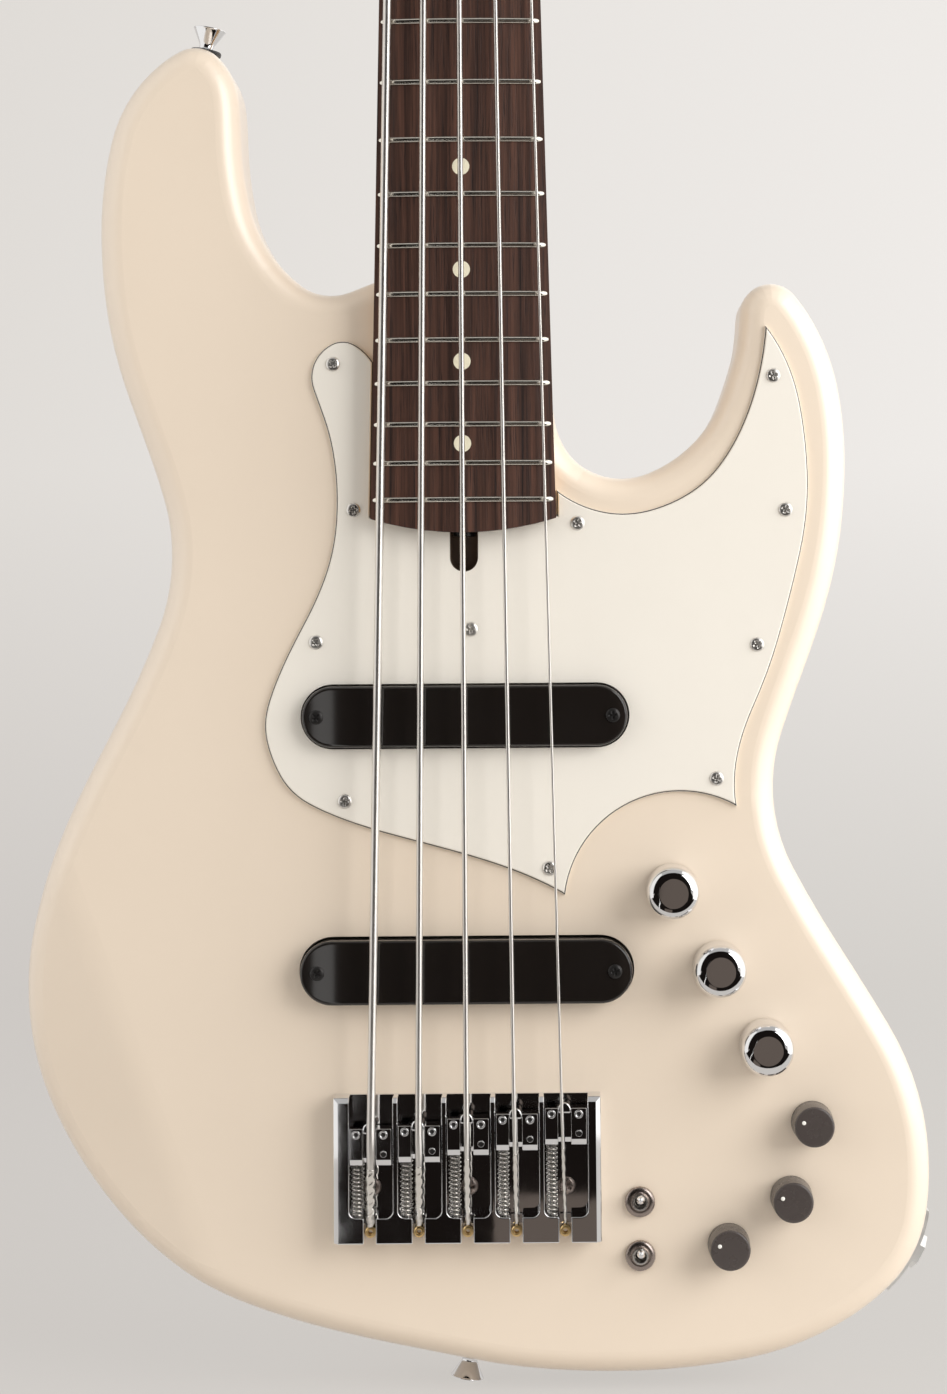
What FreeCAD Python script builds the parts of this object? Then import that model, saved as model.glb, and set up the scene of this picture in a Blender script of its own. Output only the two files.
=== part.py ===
import FreeCAD, Part
import math
import os

# Five-string electric bass guitar with a bolted neck, a laminated guard, a block bridge and active controls.
# X runs across the body, Z runs up the neck, and the front faces -Y.
# The origin is the seat of the lower strap button, on the body's bottom end at half its thickness.
# A height is measured forwards from the body's front face, so heights inside the body are negative.

# Cuts and fits
overrun = 6.0
running_gap = 0.3
bore_clearance = 0.05

# Scale, strings and fretboard
scale_length = 863.6
scale_end_share = 0.18304
fret_count = 22
notes_per_octave = 12
marked_frets = [3, 5, 7, 9, 15, 17, 19, 21]
octave_fret = 12
string_names = ["b", "e", "a", "d", "g"]
string_diameters = [3.3, 2.67, 2.16, 1.65, 1.14]
string_sides = 6
string_spacing_at_bridge = 18.55
string_spacing_at_nut = 10.0
action_at_nut = 0.4
action_at_bridge = 4.2
string_bend_leg = 4.0
nut_width = 45.0
heel_width = 73.1
heel_end_share = 0.63164
fretboard_top = 11.0
fretboard_thickness = 6.0
fretboard_radius = 305.0
fretboard_overhang = 1.5
fretboard_end_bow = 5.5
fret_width = 2.6
fret_crown = 1.1
fret_crown_width = 1.3
fret_inset = 1.0
marker_radius = 3.4
marker_depth = 1.6
octave_marker_offset = 16.0
nut_length = 4.0
nut_crown = 2.2

# Body
body_width = 358.0
body_length = 527.2
body_thickness = 44.5
body_edge_share = 0.026536
body_outline_shares = [
    (0.000, 0.000), (-0.173, 0.026), (-0.310, 0.064), (-0.425, 0.141), (-0.487, 0.243), (-0.440, 0.408),
    (-0.380, 0.489), (-0.327, 0.611), (-0.352, 0.681), (-0.390, 0.759), (-0.405, 0.846), (-0.338, 0.978),
    (-0.292, 0.990), (-0.260, 0.971), (-0.248, 0.924), (-0.207, 0.825), (-0.148, 0.800), (-0.106, 0.808),
    (-0.056, 0.817), (0.096, 0.725), (0.107, 0.690), (0.135, 0.667), (0.267, 0.694), (0.296, 0.736),
    (0.306, 0.762), (0.322, 0.801), (0.3436, 0.8065), (0.387, 0.782), (0.425, 0.673), (0.412, 0.590),
    (0.370, 0.502), (0.341, 0.429), (0.413, 0.305), (0.503, 0.182), (0.509, 0.133), (0.493, 0.079),
    (0.423, 0.030), (0.182, -0.010),
]
forearm_crease_share = (-0.335, 0.189)
forearm_lean = 20.0
forearm_slope = 14.5
forearm_blend = 40.0
forearm_reach = 120.0
forearm_length = 460.0
belly_share = (-0.170, 0.690)
belly_width_share = 0.157
belly_depth = 11.95
belly_radius = 130.0
belly_reach = 200.0
belly_edge_radius = 6.0
pocket_depth = 15.5
pocket_top_share = 0.84

# Neck and headstock
heel_top_share = 0.836
heel_ramp = 9.0
shaft_start_share = 0.815
shaft_depth_at_heel = 18.0
shaft_depth_at_nut = 14.5
volute_length = 25.0
volute_end = 14.0
headstock_width = 92.0
headstock_length = 201.0
headstock_thickness = 15.0
headstock_drop = 12.0
headstock_root = 2.0
headstock_ramp = 16.0
headstock_outline_shares = [
    (0.245, 0.010), (0.275, 0.100), (0.415, 0.190), (0.489, 0.300), (0.467, 0.388), (0.390, 0.525),
    (0.305, 0.746), (0.250, 0.920), (0.130, 0.990), (-0.045, 0.990), (-0.165, 0.915), (-0.262, 0.726),
    (-0.392, 0.490), (-0.510, 0.270), (-0.500, 0.190), (-0.380, 0.119), (-0.262, 0.060), (-0.245, 0.010),
]
truss_height = -4.0
truss_radius = 2.4
truss_channel_radius = 2.9
truss_tip_setback = 30.0
truss_wheel_radius = 4.5
truss_wheel_length = 8.0
truss_hole_radius = 1.2
truss_access_width = 11.2
truss_access_length = 22.4
truss_access_depth = 9.5

# Neck joint
neck_plate_width = 51.0
neck_plate_length = 58.0
neck_plate_thickness = 2.0
neck_plate_corner = 6.0
neck_plate_share = 0.68854
neck_screw_spread = 38.0
neck_screw_pitch = 44.0
neck_screw_radius = 2.4
neck_screw_head_radius = 4.6
neck_screw_head_height = 2.4
neck_screw_reach = 44.0

# Guard
guard_thickness = 2.3
guard_bevel = 0.9
guard_neck_gap = 0.3
guard_lobe_share = 0.747
guard_left_shares = [
    (-0.146, 0.761), (-0.165, 0.747), (-0.155, 0.706), (-0.141, 0.654), (-0.147, 0.603),
    (-0.166, 0.567), (-0.191, 0.534), (-0.212, 0.502), (-0.221, 0.476), (-0.214, 0.451),
    (-0.191, 0.425), (-0.154, 0.4095), (-0.104, 0.397), (-0.055, 0.3876), (-0.004, 0.378),
    (0.049, 0.3662), (0.109, 0.347),
]
guard_control_arc_shares = [(0.184, 0.416), (0.299, 0.412)]
guard_right_shares = [
    (0.299, 0.412), (0.299, 0.444), (0.311, 0.474), (0.328, 0.501), (0.361, 0.571),
    (0.380, 0.635), (0.379, 0.687), (0.363, 0.740), (0.336, 0.773),
]
guard_inner_shares = [
    (0.336, 0.773), (0.330, 0.744), (0.315, 0.708), (0.295, 0.680), (0.265, 0.655),
    (0.229, 0.640), (0.175, 0.632), (0.141, 0.636), (0.103, 0.650),
]
guard_screw_shares = [
    (-0.144, 0.746), (-0.122, 0.636), (0.126, 0.625), (0.344, 0.735), (0.356, 0.634), (0.323, 0.533),
    (0.277, 0.433), (0.092, 0.367), (-0.133, 0.418), (-0.164, 0.537), (0.007, 0.546),
]
trim_screw_radius = 2.8
trim_screw_top_radius = 1.7
trim_screw_height = 1.2

# Pickups
pickup_rise_shares = [0.48122, 0.29154]
pickup_lengths = [128.2, 130.4]
pickup_widths = [24.0, 25.2]
pickup_tops = [8.0, 9.0]
pickup_body_height = 15.5
pickup_wall = 2.0
pickup_roof = 2.5
pickup_cavity_gap = 0.8
pickup_cavity_depth = 16.0
pickup_screw_spacing = 116.6
coil_length = 104.0
coil_width = 14.0
coil_height = 11.0
foam_length = 90.0
foam_width = 10.0

# Bridge
bridge_width = 104.5
bridge_length = 56.5
bridge_reach = 47.3
bridge_floor = 2.5
bridge_wall_height = 12.0
bridge_tail_length = 10.0
bridge_channel_width = 16.9
bridge_channel_corner = 3.0
bridge_chamfer = 2.0
bridge_screw_strings = [0, 2, 4]
bridge_screw_setback = 10.5
bridge_screw_radius = 1.8
bridge_screw_head_radius = 3.5
bridge_screw_head_height = 1.9
bridge_screw_reach = 20.0
ball_radius = 2.2
ball_length = 4.4
ball_hole_radius = 0.9
ball_seat_height = 4.0
ball_rise_in_tail = 4.0
string_slot_width = 3.9
ball_pocket_width = 4.9
saddle_length = 15.8
saddle_side_gap = 0.35
saddle_left_width = 5.1
saddle_throat = 5.0
saddle_base_bottom = 4.2
saddle_base_top = 6.8
saddle_shoulder = 0.5
saddle_nose_reach = 2.0
saddle_tongue_length = 4.6
saddle_crown_radius = 5.0
saddle_rear_chamfer = 2.4
saddle_string_lead = 5.5
treble_nose_lead = 6.5
saddle_setbacks = [7.5, 6.1, 3.4, 1.8, 0.0]
height_screw_radius = 1.5
height_screw_setback = 4.6
height_screw_drop = 0.6
intonation_height = 8.2
intonation_screw_radius = 1.2
intonation_screw_reach = 4.5
saddle_back_travel = 2.0
intonation_head_radius = 2.4
intonation_head_depth = 3.0
spring_radius = 1.95
spring_wire_radius = 0.35
spring_turns = 7
spring_sides = 4

# Controls
control_wall = 6.0
chrome_knob_shares = [(0.22626, 0.35034), (0.27688, 0.29244), (0.32751, 0.23454)]
black_knob_shares = [(0.37793, 0.17697), (0.35419, 0.12178), (0.28520, 0.08725)]
chrome_knob_radius = 10.5
chrome_knob_rim_radius = 9.5
chrome_knob_flat_radius = 6.6
chrome_knob_height = 18.0
chrome_knob_shoulder = 15.4
black_knob_radius = 8.3
black_knob_rim_radius = 7.8
black_knob_flat_radius = 6.9
black_knob_height = 11.5
black_knob_shoulder = 10.5
black_knob_dot_radius = 1.0
black_knob_dot_offset = 4.2
black_knob_dot_height = 0.2
knob_lift = 2.2
knob_socket_depth = 9.0
shaft_radius = 3.0
shaft_tail = 3.0
pot_radius = 8.4
pot_depth = 9.0
pot_bushing_radius = 4.6
pot_nut_radius = 6.0
pot_nut_height = 1.8
toggle_shares = [(0.18827, 0.11893), (0.18827, 0.07929)]
toggle_box_width = 12.6
toggle_box_length = 8.0
toggle_box_depth = 11.0
toggle_bushing_radius = 3.1
toggle_nut_radius = 5.7
toggle_nut_height = 2.2
toggle_bushing_height = 3.6
toggle_mouth_radius = 2.5
toggle_pivot_height = -1.0
toggle_lever_length = 14.0
toggle_root_radius = 1.0
toggle_tip_radius = 1.55
toggle_tip_share = 0.6
toggle_ball_radius = 1.9
toggle_tilt = 12.5
cavity_shares = [
    (0.195, 0.386), (0.279, 0.386), (0.429, 0.201), (0.419, 0.118),
    (0.324, 0.053), (0.151, 0.053), (0.151, 0.201), (0.195, 0.235),
]
cover_ledge = 5.0
cover_thickness = 2.2
cover_gap = 0.3
cover_screw_shares = [
    (0.215, 0.391), (0.272, 0.391), (0.432, 0.190), (0.418, 0.106), (0.309, 0.047), (0.165, 0.047),
]
battery_width = 26.5
battery_length = 48.5
battery_depth = 17.5
battery_corner_share = (0.19832, 0.14985)
board_width = 30.0
board_length = 34.0
board_thickness = 1.6
board_offset_share = 0.06983
board_battery_gap = 9.7

# Output jack
jack_aim_share = (0.514, 0.0658)
jack_plate_length = 35.0
jack_plate_height = 21.0
jack_plate_thickness = 1.8
jack_barrel_radius = 5.0
jack_bore_radius = 3.25
jack_bore_depth = 28.0
jack_barrel_length = 31.0
jack_channel_share = 0.11732
jack_nut_radius = 7.0
jack_nut_height = 3.0
jack_corners = 6

# Strap buttons
lower_button_lean = 8.7
upper_button_share = (-0.2925, 0.990)
upper_button_lean = 10.3
button_base_radius = 6.4
button_neck_radius = 3.1
button_flange_radius = 6.8
button_base_height = 1.4
button_neck_height = 6.2
button_height = 9.0
button_screw_radius = 1.8
button_screw_reach = 22.0
felt_radius = 6.3
felt_thickness = 1.8

# Tuners
post_rises = [52.0, 92.0, 132.0, 172.0, 72.0]
post_sides = [-1, -1, -1, -1, 1]
bass_key_lean = 13.2
treble_key_lean = 0.0
post_radius = 5.2
post_height = 15.0
post_foot = 11.0
post_slot_width = 2.4
post_slot_depth = 4.0
bushing_radius = 7.6
bushing_flange_radius = 9.6
bushing_flange_height = 2.2
housing_width = 17.0
housing_inner_reach = 9.0
housing_outer_reach = 17.0
housing_depth = 14.0
housing_chamfer = 2.5
key_shaft_radius = 2.6
key_shaft_start = 8.0
key_shaft_end = 31.0
key_lobe_radius = 7.0
key_lobe_spread = 6.2
key_length = 20.0
key_thickness = 4.6
winding_top = 11.0
winding_half_turns = 3
winding_gap = 0.45
string_post_gap = 0.3

os.makedirs("parts", exist_ok=True)
Vector = FreeCAD.Vector
forwards = Vector(0, -1, 0)
backwards = Vector(0, 1, 0)
upwards = Vector(0, 0, 1)
rightwards = Vector(1, 0, 0)

# Levels worked out from the driving dimensions
face = -body_thickness / 2
body_edge_radius = body_edge_share * body_width
scale_end_rise = scale_end_share * body_length
heel_end_rise = heel_end_share * body_length
neck_plate_rise = neck_plate_share * body_length
pickup_rises = [share * body_length for share in pickup_rise_shares]
nut_rise = scale_end_rise + scale_length
treble_nose_rise = scale_end_rise + treble_nose_lead
bridge_foot_rise = scale_end_rise - bridge_reach
fretboard_bottom = fretboard_top - fretboard_thickness
headstock_face = fretboard_top - headstock_drop
headstock_back = headstock_face - headstock_thickness
cavity_floor = -control_wall
bridge_front_rise = bridge_foot_rise + bridge_length
bridge_tail_rise = bridge_foot_rise + bridge_tail_length
string_count = len(string_names)
middle_string = string_count // 2
saddle_width = bridge_channel_width - 2 * saddle_side_gap
saddle_right_width = saddle_width - saddle_left_width - saddle_throat
throat_offset = saddle_left_width + saddle_throat / 2 - saddle_width / 2


# Points, edges and simple solids
def flat(across, rise):
    return Vector(across, face, rise)


def point(across, rise, height):
    return Vector(across, face - height, rise)


def body_place(share):
    return share[0] * body_width, share[1] * body_length


def shared(share):
    return flat(*body_place(share))


def turned_way(angle):
    return Vector(math.sin(math.radians(angle)), 0, math.cos(math.radians(angle)))


def corner_arc(start, corner, end):
    middle = (start + end) * 0.5
    chord = (end - start).Length / 2
    lean = math.acos(min(1.0, chord / (corner - start).Length))
    bulge = (corner - middle).normalize() * (chord * math.tan(lean / 2))
    return Part.Arc(start, middle + bulge, end).toShape()


def biarc(start, start_way, end, end_way):
    span = end - start
    both = start_way + end_way
    bend = 2 * (1 - start_way.dot(end_way))
    reach = math.sqrt(span.dot(both) ** 2 + bend * span.dot(span))
    leg = (reach - span.dot(both)) / bend
    first_corner = start + start_way * leg
    last_corner = end - end_way * leg
    joint = (first_corner + last_corner) * 0.5
    return [corner_arc(start, first_corner, joint), corner_arc(joint, last_corner, end)]


def smooth_edges(points, closed):
    curve = Part.BSplineCurve()
    curve.interpolate(Points=points, PeriodicFlag=closed)
    ways = [curve.tangent(curve.parameter(place))[0] for place in points]
    count = len(points)
    edges = []
    for i in range(count if closed else count - 1):
        j = (i + 1) % count
        edges += biarc(points[i], ways[i], points[j], ways[j])
    return edges


def straight(start, end):
    return Part.LineSegment(start, end).toShape()


def polygon(points):
    return Part.makePolygon(points + points[:1])


def slab(wire, low, high):
    sheet = Part.Face(wire)
    sheet.translate(forwards * low)
    return sheet.extrude(forwards * (high - low))


def block(left, right, low, high, bottom, top):
    return Part.makeBox(right - left, high - low, top - bottom, point(left, bottom, high))


def pin(across, rise, low, high, radius):
    return Part.makeCylinder(radius, high - low, point(across, rise, low), forwards)


def lathe(profile, base, way):
    outline = [Vector(radius, 0, along) for radius, along in profile]
    solid = Part.Face(polygon(outline)).revolve(Vector(), upwards, 360)
    solid.Placement = FreeCAD.Placement(base, FreeCAD.Rotation(upwards, way))
    return solid


def stadium(rise, length, width):
    half = length / 2 - width / 2
    top = rise + width / 2
    low = rise - width / 2
    right = Part.Arc(flat(half, low), flat(length / 2, rise), flat(half, top)).toShape()
    left = Part.Arc(flat(-half, top), flat(-length / 2, rise), flat(-half, low)).toShape()
    bottom_edge = straight(flat(-half, low), flat(half, low))
    top_edge = straight(flat(half, top), flat(-half, top))
    return Part.Wire([bottom_edge, right, top_edge, left])


def rounded(points, leg):
    edges = []
    start = None
    for i, here in enumerate(points):
        before = points[i - 1]
        after = points[(i + 1) % len(points)]
        arrive = here + (before - here).normalize() * leg
        leave = here + (after - here).normalize() * leg
        if start:
            edges.append(straight(edges[-1].Vertexes[-1].Point, arrive))
        start = start or arrive
        edges.append(corner_arc(arrive, here, leave))
    edges.append(straight(leave, start))
    return Part.Wire(edges)


def tube(edges, radius, sides):
    path = Part.Wire(edges)
    start = edges[0].valueAt(edges[0].FirstParameter)
    way = edges[0].tangentAt(edges[0].FirstParameter)
    across = way.cross(rightwards).normalize()
    other = way.cross(across)
    ring = []
    for i in range(sides):
        turn = 2 * math.pi * i / sides
        ring.append(start + across * (radius * math.cos(turn)) + other * (radius * math.sin(turn)))
    return path.makePipeShell([polygon(ring)], True, False)


def coil(centre, across, side, along, radius, pitch, half_turn):
    turn = math.pi * half_turn
    place = centre + across * (radius * math.cos(turn)) + side * (radius * math.sin(turn))
    place = place + along * (pitch * half_turn / 2)
    way = (side * math.cos(turn) - across * math.sin(turn)) * radius
    way = way + along * (pitch / (2 * math.pi))
    return place, way.normalize()


def least_self_gap(edges, wire_radius, points_per_edge, edges_per_turn):
    places = []
    for edge in edges:
        places += edge.discretize(points_per_edge)
    apart = points_per_edge * edges_per_turn // 2
    least = min(
        (places[i] - places[j]).Length
        for i in range(len(places))
        for j in range(i + apart, len(places))
    )
    return least - 2 * wire_radius


# The neck's taper, the frets and the string layout
def neck_half_width(rise):
    share = (rise - heel_end_rise) / (nut_rise - heel_end_rise)
    return (heel_width + (nut_width - heel_width) * share) / 2


def fret_rise(number):
    return scale_end_rise + scale_length * 2 ** (-number / notes_per_octave)


def string_across(index, rise):
    share = (rise - scale_end_rise) / scale_length
    spacing = string_spacing_at_bridge + (string_spacing_at_nut - string_spacing_at_bridge) * share
    return (index - middle_string) * spacing


def board_crown(across):
    return fretboard_top - across ** 2 / (2 * fretboard_radius)


def string_height_at_nut(index):
    across = string_across(index, nut_rise)
    return board_crown(across) + fret_crown + action_at_nut + string_diameters[index] / 2


def string_height_at_saddle(index):
    across = string_across(index, scale_end_rise)
    return board_crown(across) + fret_crown + action_at_bridge + string_diameters[index] / 2


def nose_rise(index):
    return treble_nose_rise - saddle_setbacks[index]


def bridge_string_across(index):
    return string_across(index, bridge_foot_rise)


def channel_centre(index):
    return bridge_string_across(index) - throat_offset


def winding_radius(index):
    return post_radius + string_post_gap + string_diameters[index] / 2


def post_place(index):
    rise = nut_rise + post_rises[index]
    return string_across(index, rise) + post_sides[index] * winding_radius(index), rise


def key_way(index):
    lean = bass_key_lean if post_sides[index] < 0 else treble_key_lean
    return Vector(post_sides[index] * math.cos(math.radians(lean)), 0, math.sin(math.radians(lean)))


chrome_knob_places = [body_place(share) for share in chrome_knob_shares]
black_knob_places = [body_place(share) for share in black_knob_shares]
toggle_places = [body_place(share) for share in toggle_shares]
knob_places = chrome_knob_places + black_knob_places
body_wire = Part.Wire(smooth_edges([shared(share) for share in body_outline_shares], True))
jack_aim = shared(jack_aim_share)
jack_foot = body_wire.distToShape(Part.Vertex(jack_aim))[1][0][0]
jack_out = (jack_aim - jack_foot).normalize()
jack_seat = jack_foot + backwards * (body_thickness / 2)
upper_button_way = turned_way(upper_button_lean)
upper_button_seat = shared(upper_button_share) + backwards * (body_thickness / 2)
lower_button_way = turned_way(180 + lower_button_lean)
lower_button_seat = Vector()
neck_screw_places = [
    (side * neck_screw_spread / 2, neck_plate_rise + end * neck_screw_pitch / 2)
    for side in (-1, 1)
    for end in (-1, 1)
]
strap_seats = [(lower_button_seat, lower_button_way), (upper_button_seat, upper_button_way)]


# Body
def forearm_cut():
    along = turned_way(180 - forearm_lean)
    outwards = Vector(along.z, 0, -along.x)
    foot = shared(forearm_crease_share) - along * (forearm_length / 2)

    def edge_point(angle):
        turn = math.radians(angle)
        sideways = outwards * (forearm_blend * math.sin(turn))
        return foot + sideways + backwards * (forearm_blend * (1 - math.cos(turn)))

    bend_end = edge_point(forearm_slope)
    fall = forearm_reach * math.tan(math.radians(forearm_slope))
    far = bend_end + outwards * forearm_reach + backwards * fall
    lifted_far = Vector(far.x, face - overrun, far.z)
    lifted_foot = foot + forwards * overrun
    edges = [
        Part.Arc(foot, edge_point(forearm_slope / 2), bend_end).toShape(),
        straight(bend_end, far),
        straight(far, lifted_far),
        straight(lifted_far, lifted_foot),
        straight(lifted_foot, foot),
    ]
    return Part.Face(Part.Wire(edges)).extrude(along * forearm_length)


def belly_cut():
    lean = math.atan(belly_depth / (belly_width_share * body_width))
    way = Vector(-math.cos(lean), -math.sin(lean), 0)
    centre = shared(belly_share) + backwards * (body_thickness + belly_radius)
    return Part.makeCylinder(belly_radius, belly_reach, centre, way)


def neck_plan(bottom, top):
    low = neck_half_width(bottom)
    high = neck_half_width(top)
    return polygon([flat(-low, bottom), flat(low, bottom), flat(high, top), flat(-high, top)])


def cavity_wire(margin):
    corners = [shared(share) for share in cavity_shares]
    wire = polygon(corners)
    return wire.makeOffset2D(margin, 2) if margin else wire


def outline_rim_edges(solid):
    rim = []
    for side in solid.Faces:
        surface = side.Surface
        if surface.TypeId == "Part::GeomCylinder" and abs(surface.Axis.dot(backwards)) > 0.999:
            for edge in side.Edges:
                span = edge.Vertexes[0].Point - edge.Vertexes[-1].Point
                if span.cross(backwards).Length > running_gap:
                    rim.append(edge)
    return rim


def scoop_edges(solid):
    edges = []
    for side in solid.Faces:
        surface = side.Surface
        if surface.TypeId == "Part::GeomCylinder" and abs(surface.Radius - belly_radius) < bore_clearance:
            edges += side.Edges
    return edges


def make_body():
    blank = slab(body_wire, -body_thickness, 0).cut(forearm_cut())
    solid = blank.makeFillet(body_edge_radius, outline_rim_edges(blank)).cut(belly_cut())
    solid = solid.makeFillet(belly_edge_radius, scoop_edges(solid))
    cuts = [slab(neck_plan(heel_end_rise, pocket_top_share * body_length), -pocket_depth, overrun)]
    half = truss_access_width / 2
    access_bottom = heel_end_rise - truss_access_length
    cuts.append(block(-half, half, -truss_access_depth, overrun, access_bottom, heel_end_rise))
    for rise, length, width in zip(pickup_rises, pickup_lengths, pickup_widths):
        gap = 2 * pickup_cavity_gap
        cuts.append(slab(stadium(rise, length + gap, width + gap), -pickup_cavity_depth, overrun))
    cuts.append(slab(cavity_wire(0), -body_thickness - overrun, cavity_floor))
    cuts.append(slab(cavity_wire(cover_ledge), -body_thickness - overrun, cover_thickness - body_thickness))
    shafts = [(across, rise, pot_bushing_radius) for across, rise in knob_places]
    shafts += [(across, rise, toggle_bushing_radius) for across, rise in toggle_places]
    for across, rise, radius in shafts:
        cuts.append(pin(across, rise, cavity_floor - overrun, overrun, radius + bore_clearance))
    for index in bridge_screw_strings:
        across, rise = bridge_screw_place(index)
        cuts.append(pin(across, rise, bridge_floor - bridge_screw_reach, overrun, bridge_screw_radius))
    for across, rise in neck_screw_places:
        cuts.append(pin(across, rise, -body_thickness - overrun, 0, neck_screw_radius))
    jack_mouth = jack_seat + jack_out * overrun
    channel_radius = jack_barrel_radius + bore_clearance
    channel_length = jack_channel_share * body_width + overrun
    cuts.append(Part.makeCylinder(channel_radius, channel_length, jack_mouth, -jack_out))
    for seat, way in strap_seats:
        cuts.append(Part.makeCylinder(felt_radius, overrun, seat, way))
        cuts.append(Part.makeCylinder(button_screw_radius, button_screw_reach, seat, -way))
    return solid.cut(cuts)


# Neck, fretboard, frets, markers and nut
def shaft_section(rise, half, depth):
    left = point(-half, rise, fretboard_bottom)
    right = point(half, rise, fretboard_bottom)
    back = point(0, rise, fretboard_bottom - depth)
    return Part.Wire([straight(left, right), Part.Arc(right, back, left).toShape()])


def make_neck():
    heel_top = heel_top_share * body_length
    shaft_start = shaft_start_share * body_length
    volute_start = nut_rise - volute_length
    volute_stop = nut_rise + volute_end
    heel = slab(neck_plan(heel_end_rise, heel_top), -pocket_depth, fretboard_bottom)
    ramp = polygon([
        point(-heel_width, heel_top - heel_ramp, -pocket_depth),
        point(-heel_width, heel_top, heel_ramp - pocket_depth),
        point(-heel_width, heel_top + overrun, -pocket_depth - overrun),
        point(-heel_width, heel_top - heel_ramp, -pocket_depth - overrun),
    ])
    heel = heel.cut(Part.Face(ramp).extrude(rightwards * (2 * heel_width)))
    shaft = Part.makeLoft([
        shaft_section(shaft_start, neck_half_width(shaft_start), shaft_depth_at_heel),
        shaft_section(volute_start, neck_half_width(volute_start), shaft_depth_at_nut),
        shaft_section(volute_stop, nut_width / 2, fretboard_bottom - headstock_back - bore_clearance),
    ], True, True)
    above = fretboard_bottom + overrun
    shaft = shaft.cut(
        block(-nut_width, nut_width, headstock_face, above, nut_rise + nut_length, volute_stop + overrun)
    )
    corners = []
    for across, rise in headstock_outline_shares:
        corners.append(flat(across * headstock_width, nut_rise + rise * headstock_length))
    edges = smooth_edges(corners, False)
    edges.append(straight(corners[-1], corners[0]))
    paddle = slab(Part.Wire(edges), headstock_back, headstock_face)
    slope = polygon([
        point(-nut_width / 2, nut_rise + headstock_root, headstock_face),
        point(-nut_width / 2, nut_rise + headstock_root, fretboard_bottom),
        point(-nut_width / 2, nut_rise + nut_length, fretboard_bottom),
        point(-nut_width / 2, nut_rise + headstock_ramp, headstock_face),
    ])
    solid = heel.fuse([shaft, paddle, Part.Face(slope).extrude(rightwards * nut_width)])
    channel_length = nut_rise - truss_tip_setback - heel_end_rise + overrun
    channel_start = point(0, heel_end_rise - overrun, truss_height)
    cuts = [Part.makeCylinder(truss_channel_radius, channel_length, channel_start, upwards)]
    screw_tip = neck_screw_reach - body_thickness - neck_plate_thickness
    for across, rise in neck_screw_places:
        cuts.append(pin(across, rise, -body_thickness, screw_tip, neck_screw_radius))
    for index in range(string_count):
        across, rise = post_place(index)
        cuts.append(pin(across, rise, headstock_back - overrun, headstock_face + overrun, bushing_radius))
    return solid.cut(cuts).removeSplitter()


def board_cylinder(radius, bottom, top):
    centre = point(0, bottom, fretboard_top - fretboard_radius)
    return Part.makeCylinder(radius, top - bottom, centre, upwards)


def marker_pins():
    rises = [(0, (fret_rise(n) + fret_rise(n - 1)) / 2) for n in marked_frets]
    octave = (fret_rise(octave_fret) + fret_rise(octave_fret - 1)) / 2
    rises += [(-octave_marker_offset, octave), (octave_marker_offset, octave)]
    return [pin(x, z, fretboard_top - marker_depth, fretboard_top + overrun, marker_radius) for x, z in rises]


def make_fretboard():
    end = heel_end_rise - fretboard_overhang
    half = neck_half_width(end)
    tip = neck_half_width(nut_rise)
    wire = Part.Wire([
        straight(flat(half, end), flat(tip, nut_rise)),
        straight(flat(tip, nut_rise), flat(-tip, nut_rise)),
        straight(flat(-tip, nut_rise), flat(-half, end)),
        Part.Arc(flat(-half, end), flat(0, end - fretboard_end_bow), flat(half, end)).toShape(),
    ])
    plank = slab(wire, fretboard_bottom, fretboard_top)
    bottom = end - fretboard_end_bow - overrun
    crowned = plank.common(board_cylinder(fretboard_radius, bottom, nut_rise + overrun))
    return crowned.cut(marker_pins()), Part.makeCompound([crowned.common(m) for m in marker_pins()])


def make_frets():
    frets = []
    centre = point(0, 0, fretboard_top - fretboard_radius)
    for number in range(1, fret_count + 1):
        rise = fret_rise(number)
        half = neck_half_width(rise) - fret_inset
        angle = math.degrees(math.asin(half / fretboard_radius))
        base = fretboard_top
        profile = polygon([
            point(0, rise - fret_width / 2, base),
            point(0, rise - fret_crown_width / 2, base + fret_crown),
            point(0, rise + fret_crown_width / 2, base + fret_crown),
            point(0, rise + fret_width / 2, base),
        ])
        profile.rotate(centre, upwards, -angle)
        frets.append(Part.Face(profile).revolve(centre, upwards, 2 * angle))
    return Part.makeCompound(frets)


def make_nut():
    half = nut_width / 2
    crown = nut_crown + fret_crown
    low_end = nut_rise - overrun
    high_end = nut_rise + nut_length + overrun
    solid = block(-half, half, fretboard_bottom, fretboard_top + crown, nut_rise, nut_rise + nut_length)
    solid = solid.common(board_cylinder(fretboard_radius + crown, low_end, high_end))
    slots = []
    for index in range(string_count):
        across = string_across(index, nut_rise + nut_length / 2)
        radius = string_diameters[index] / 2 + bore_clearance
        low = string_height_at_nut(index) - radius - running_gap
        slots.append(block(across - radius, across + radius, low, fretboard_top + overrun, low_end, high_end))
    return solid.cut(slots)


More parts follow.
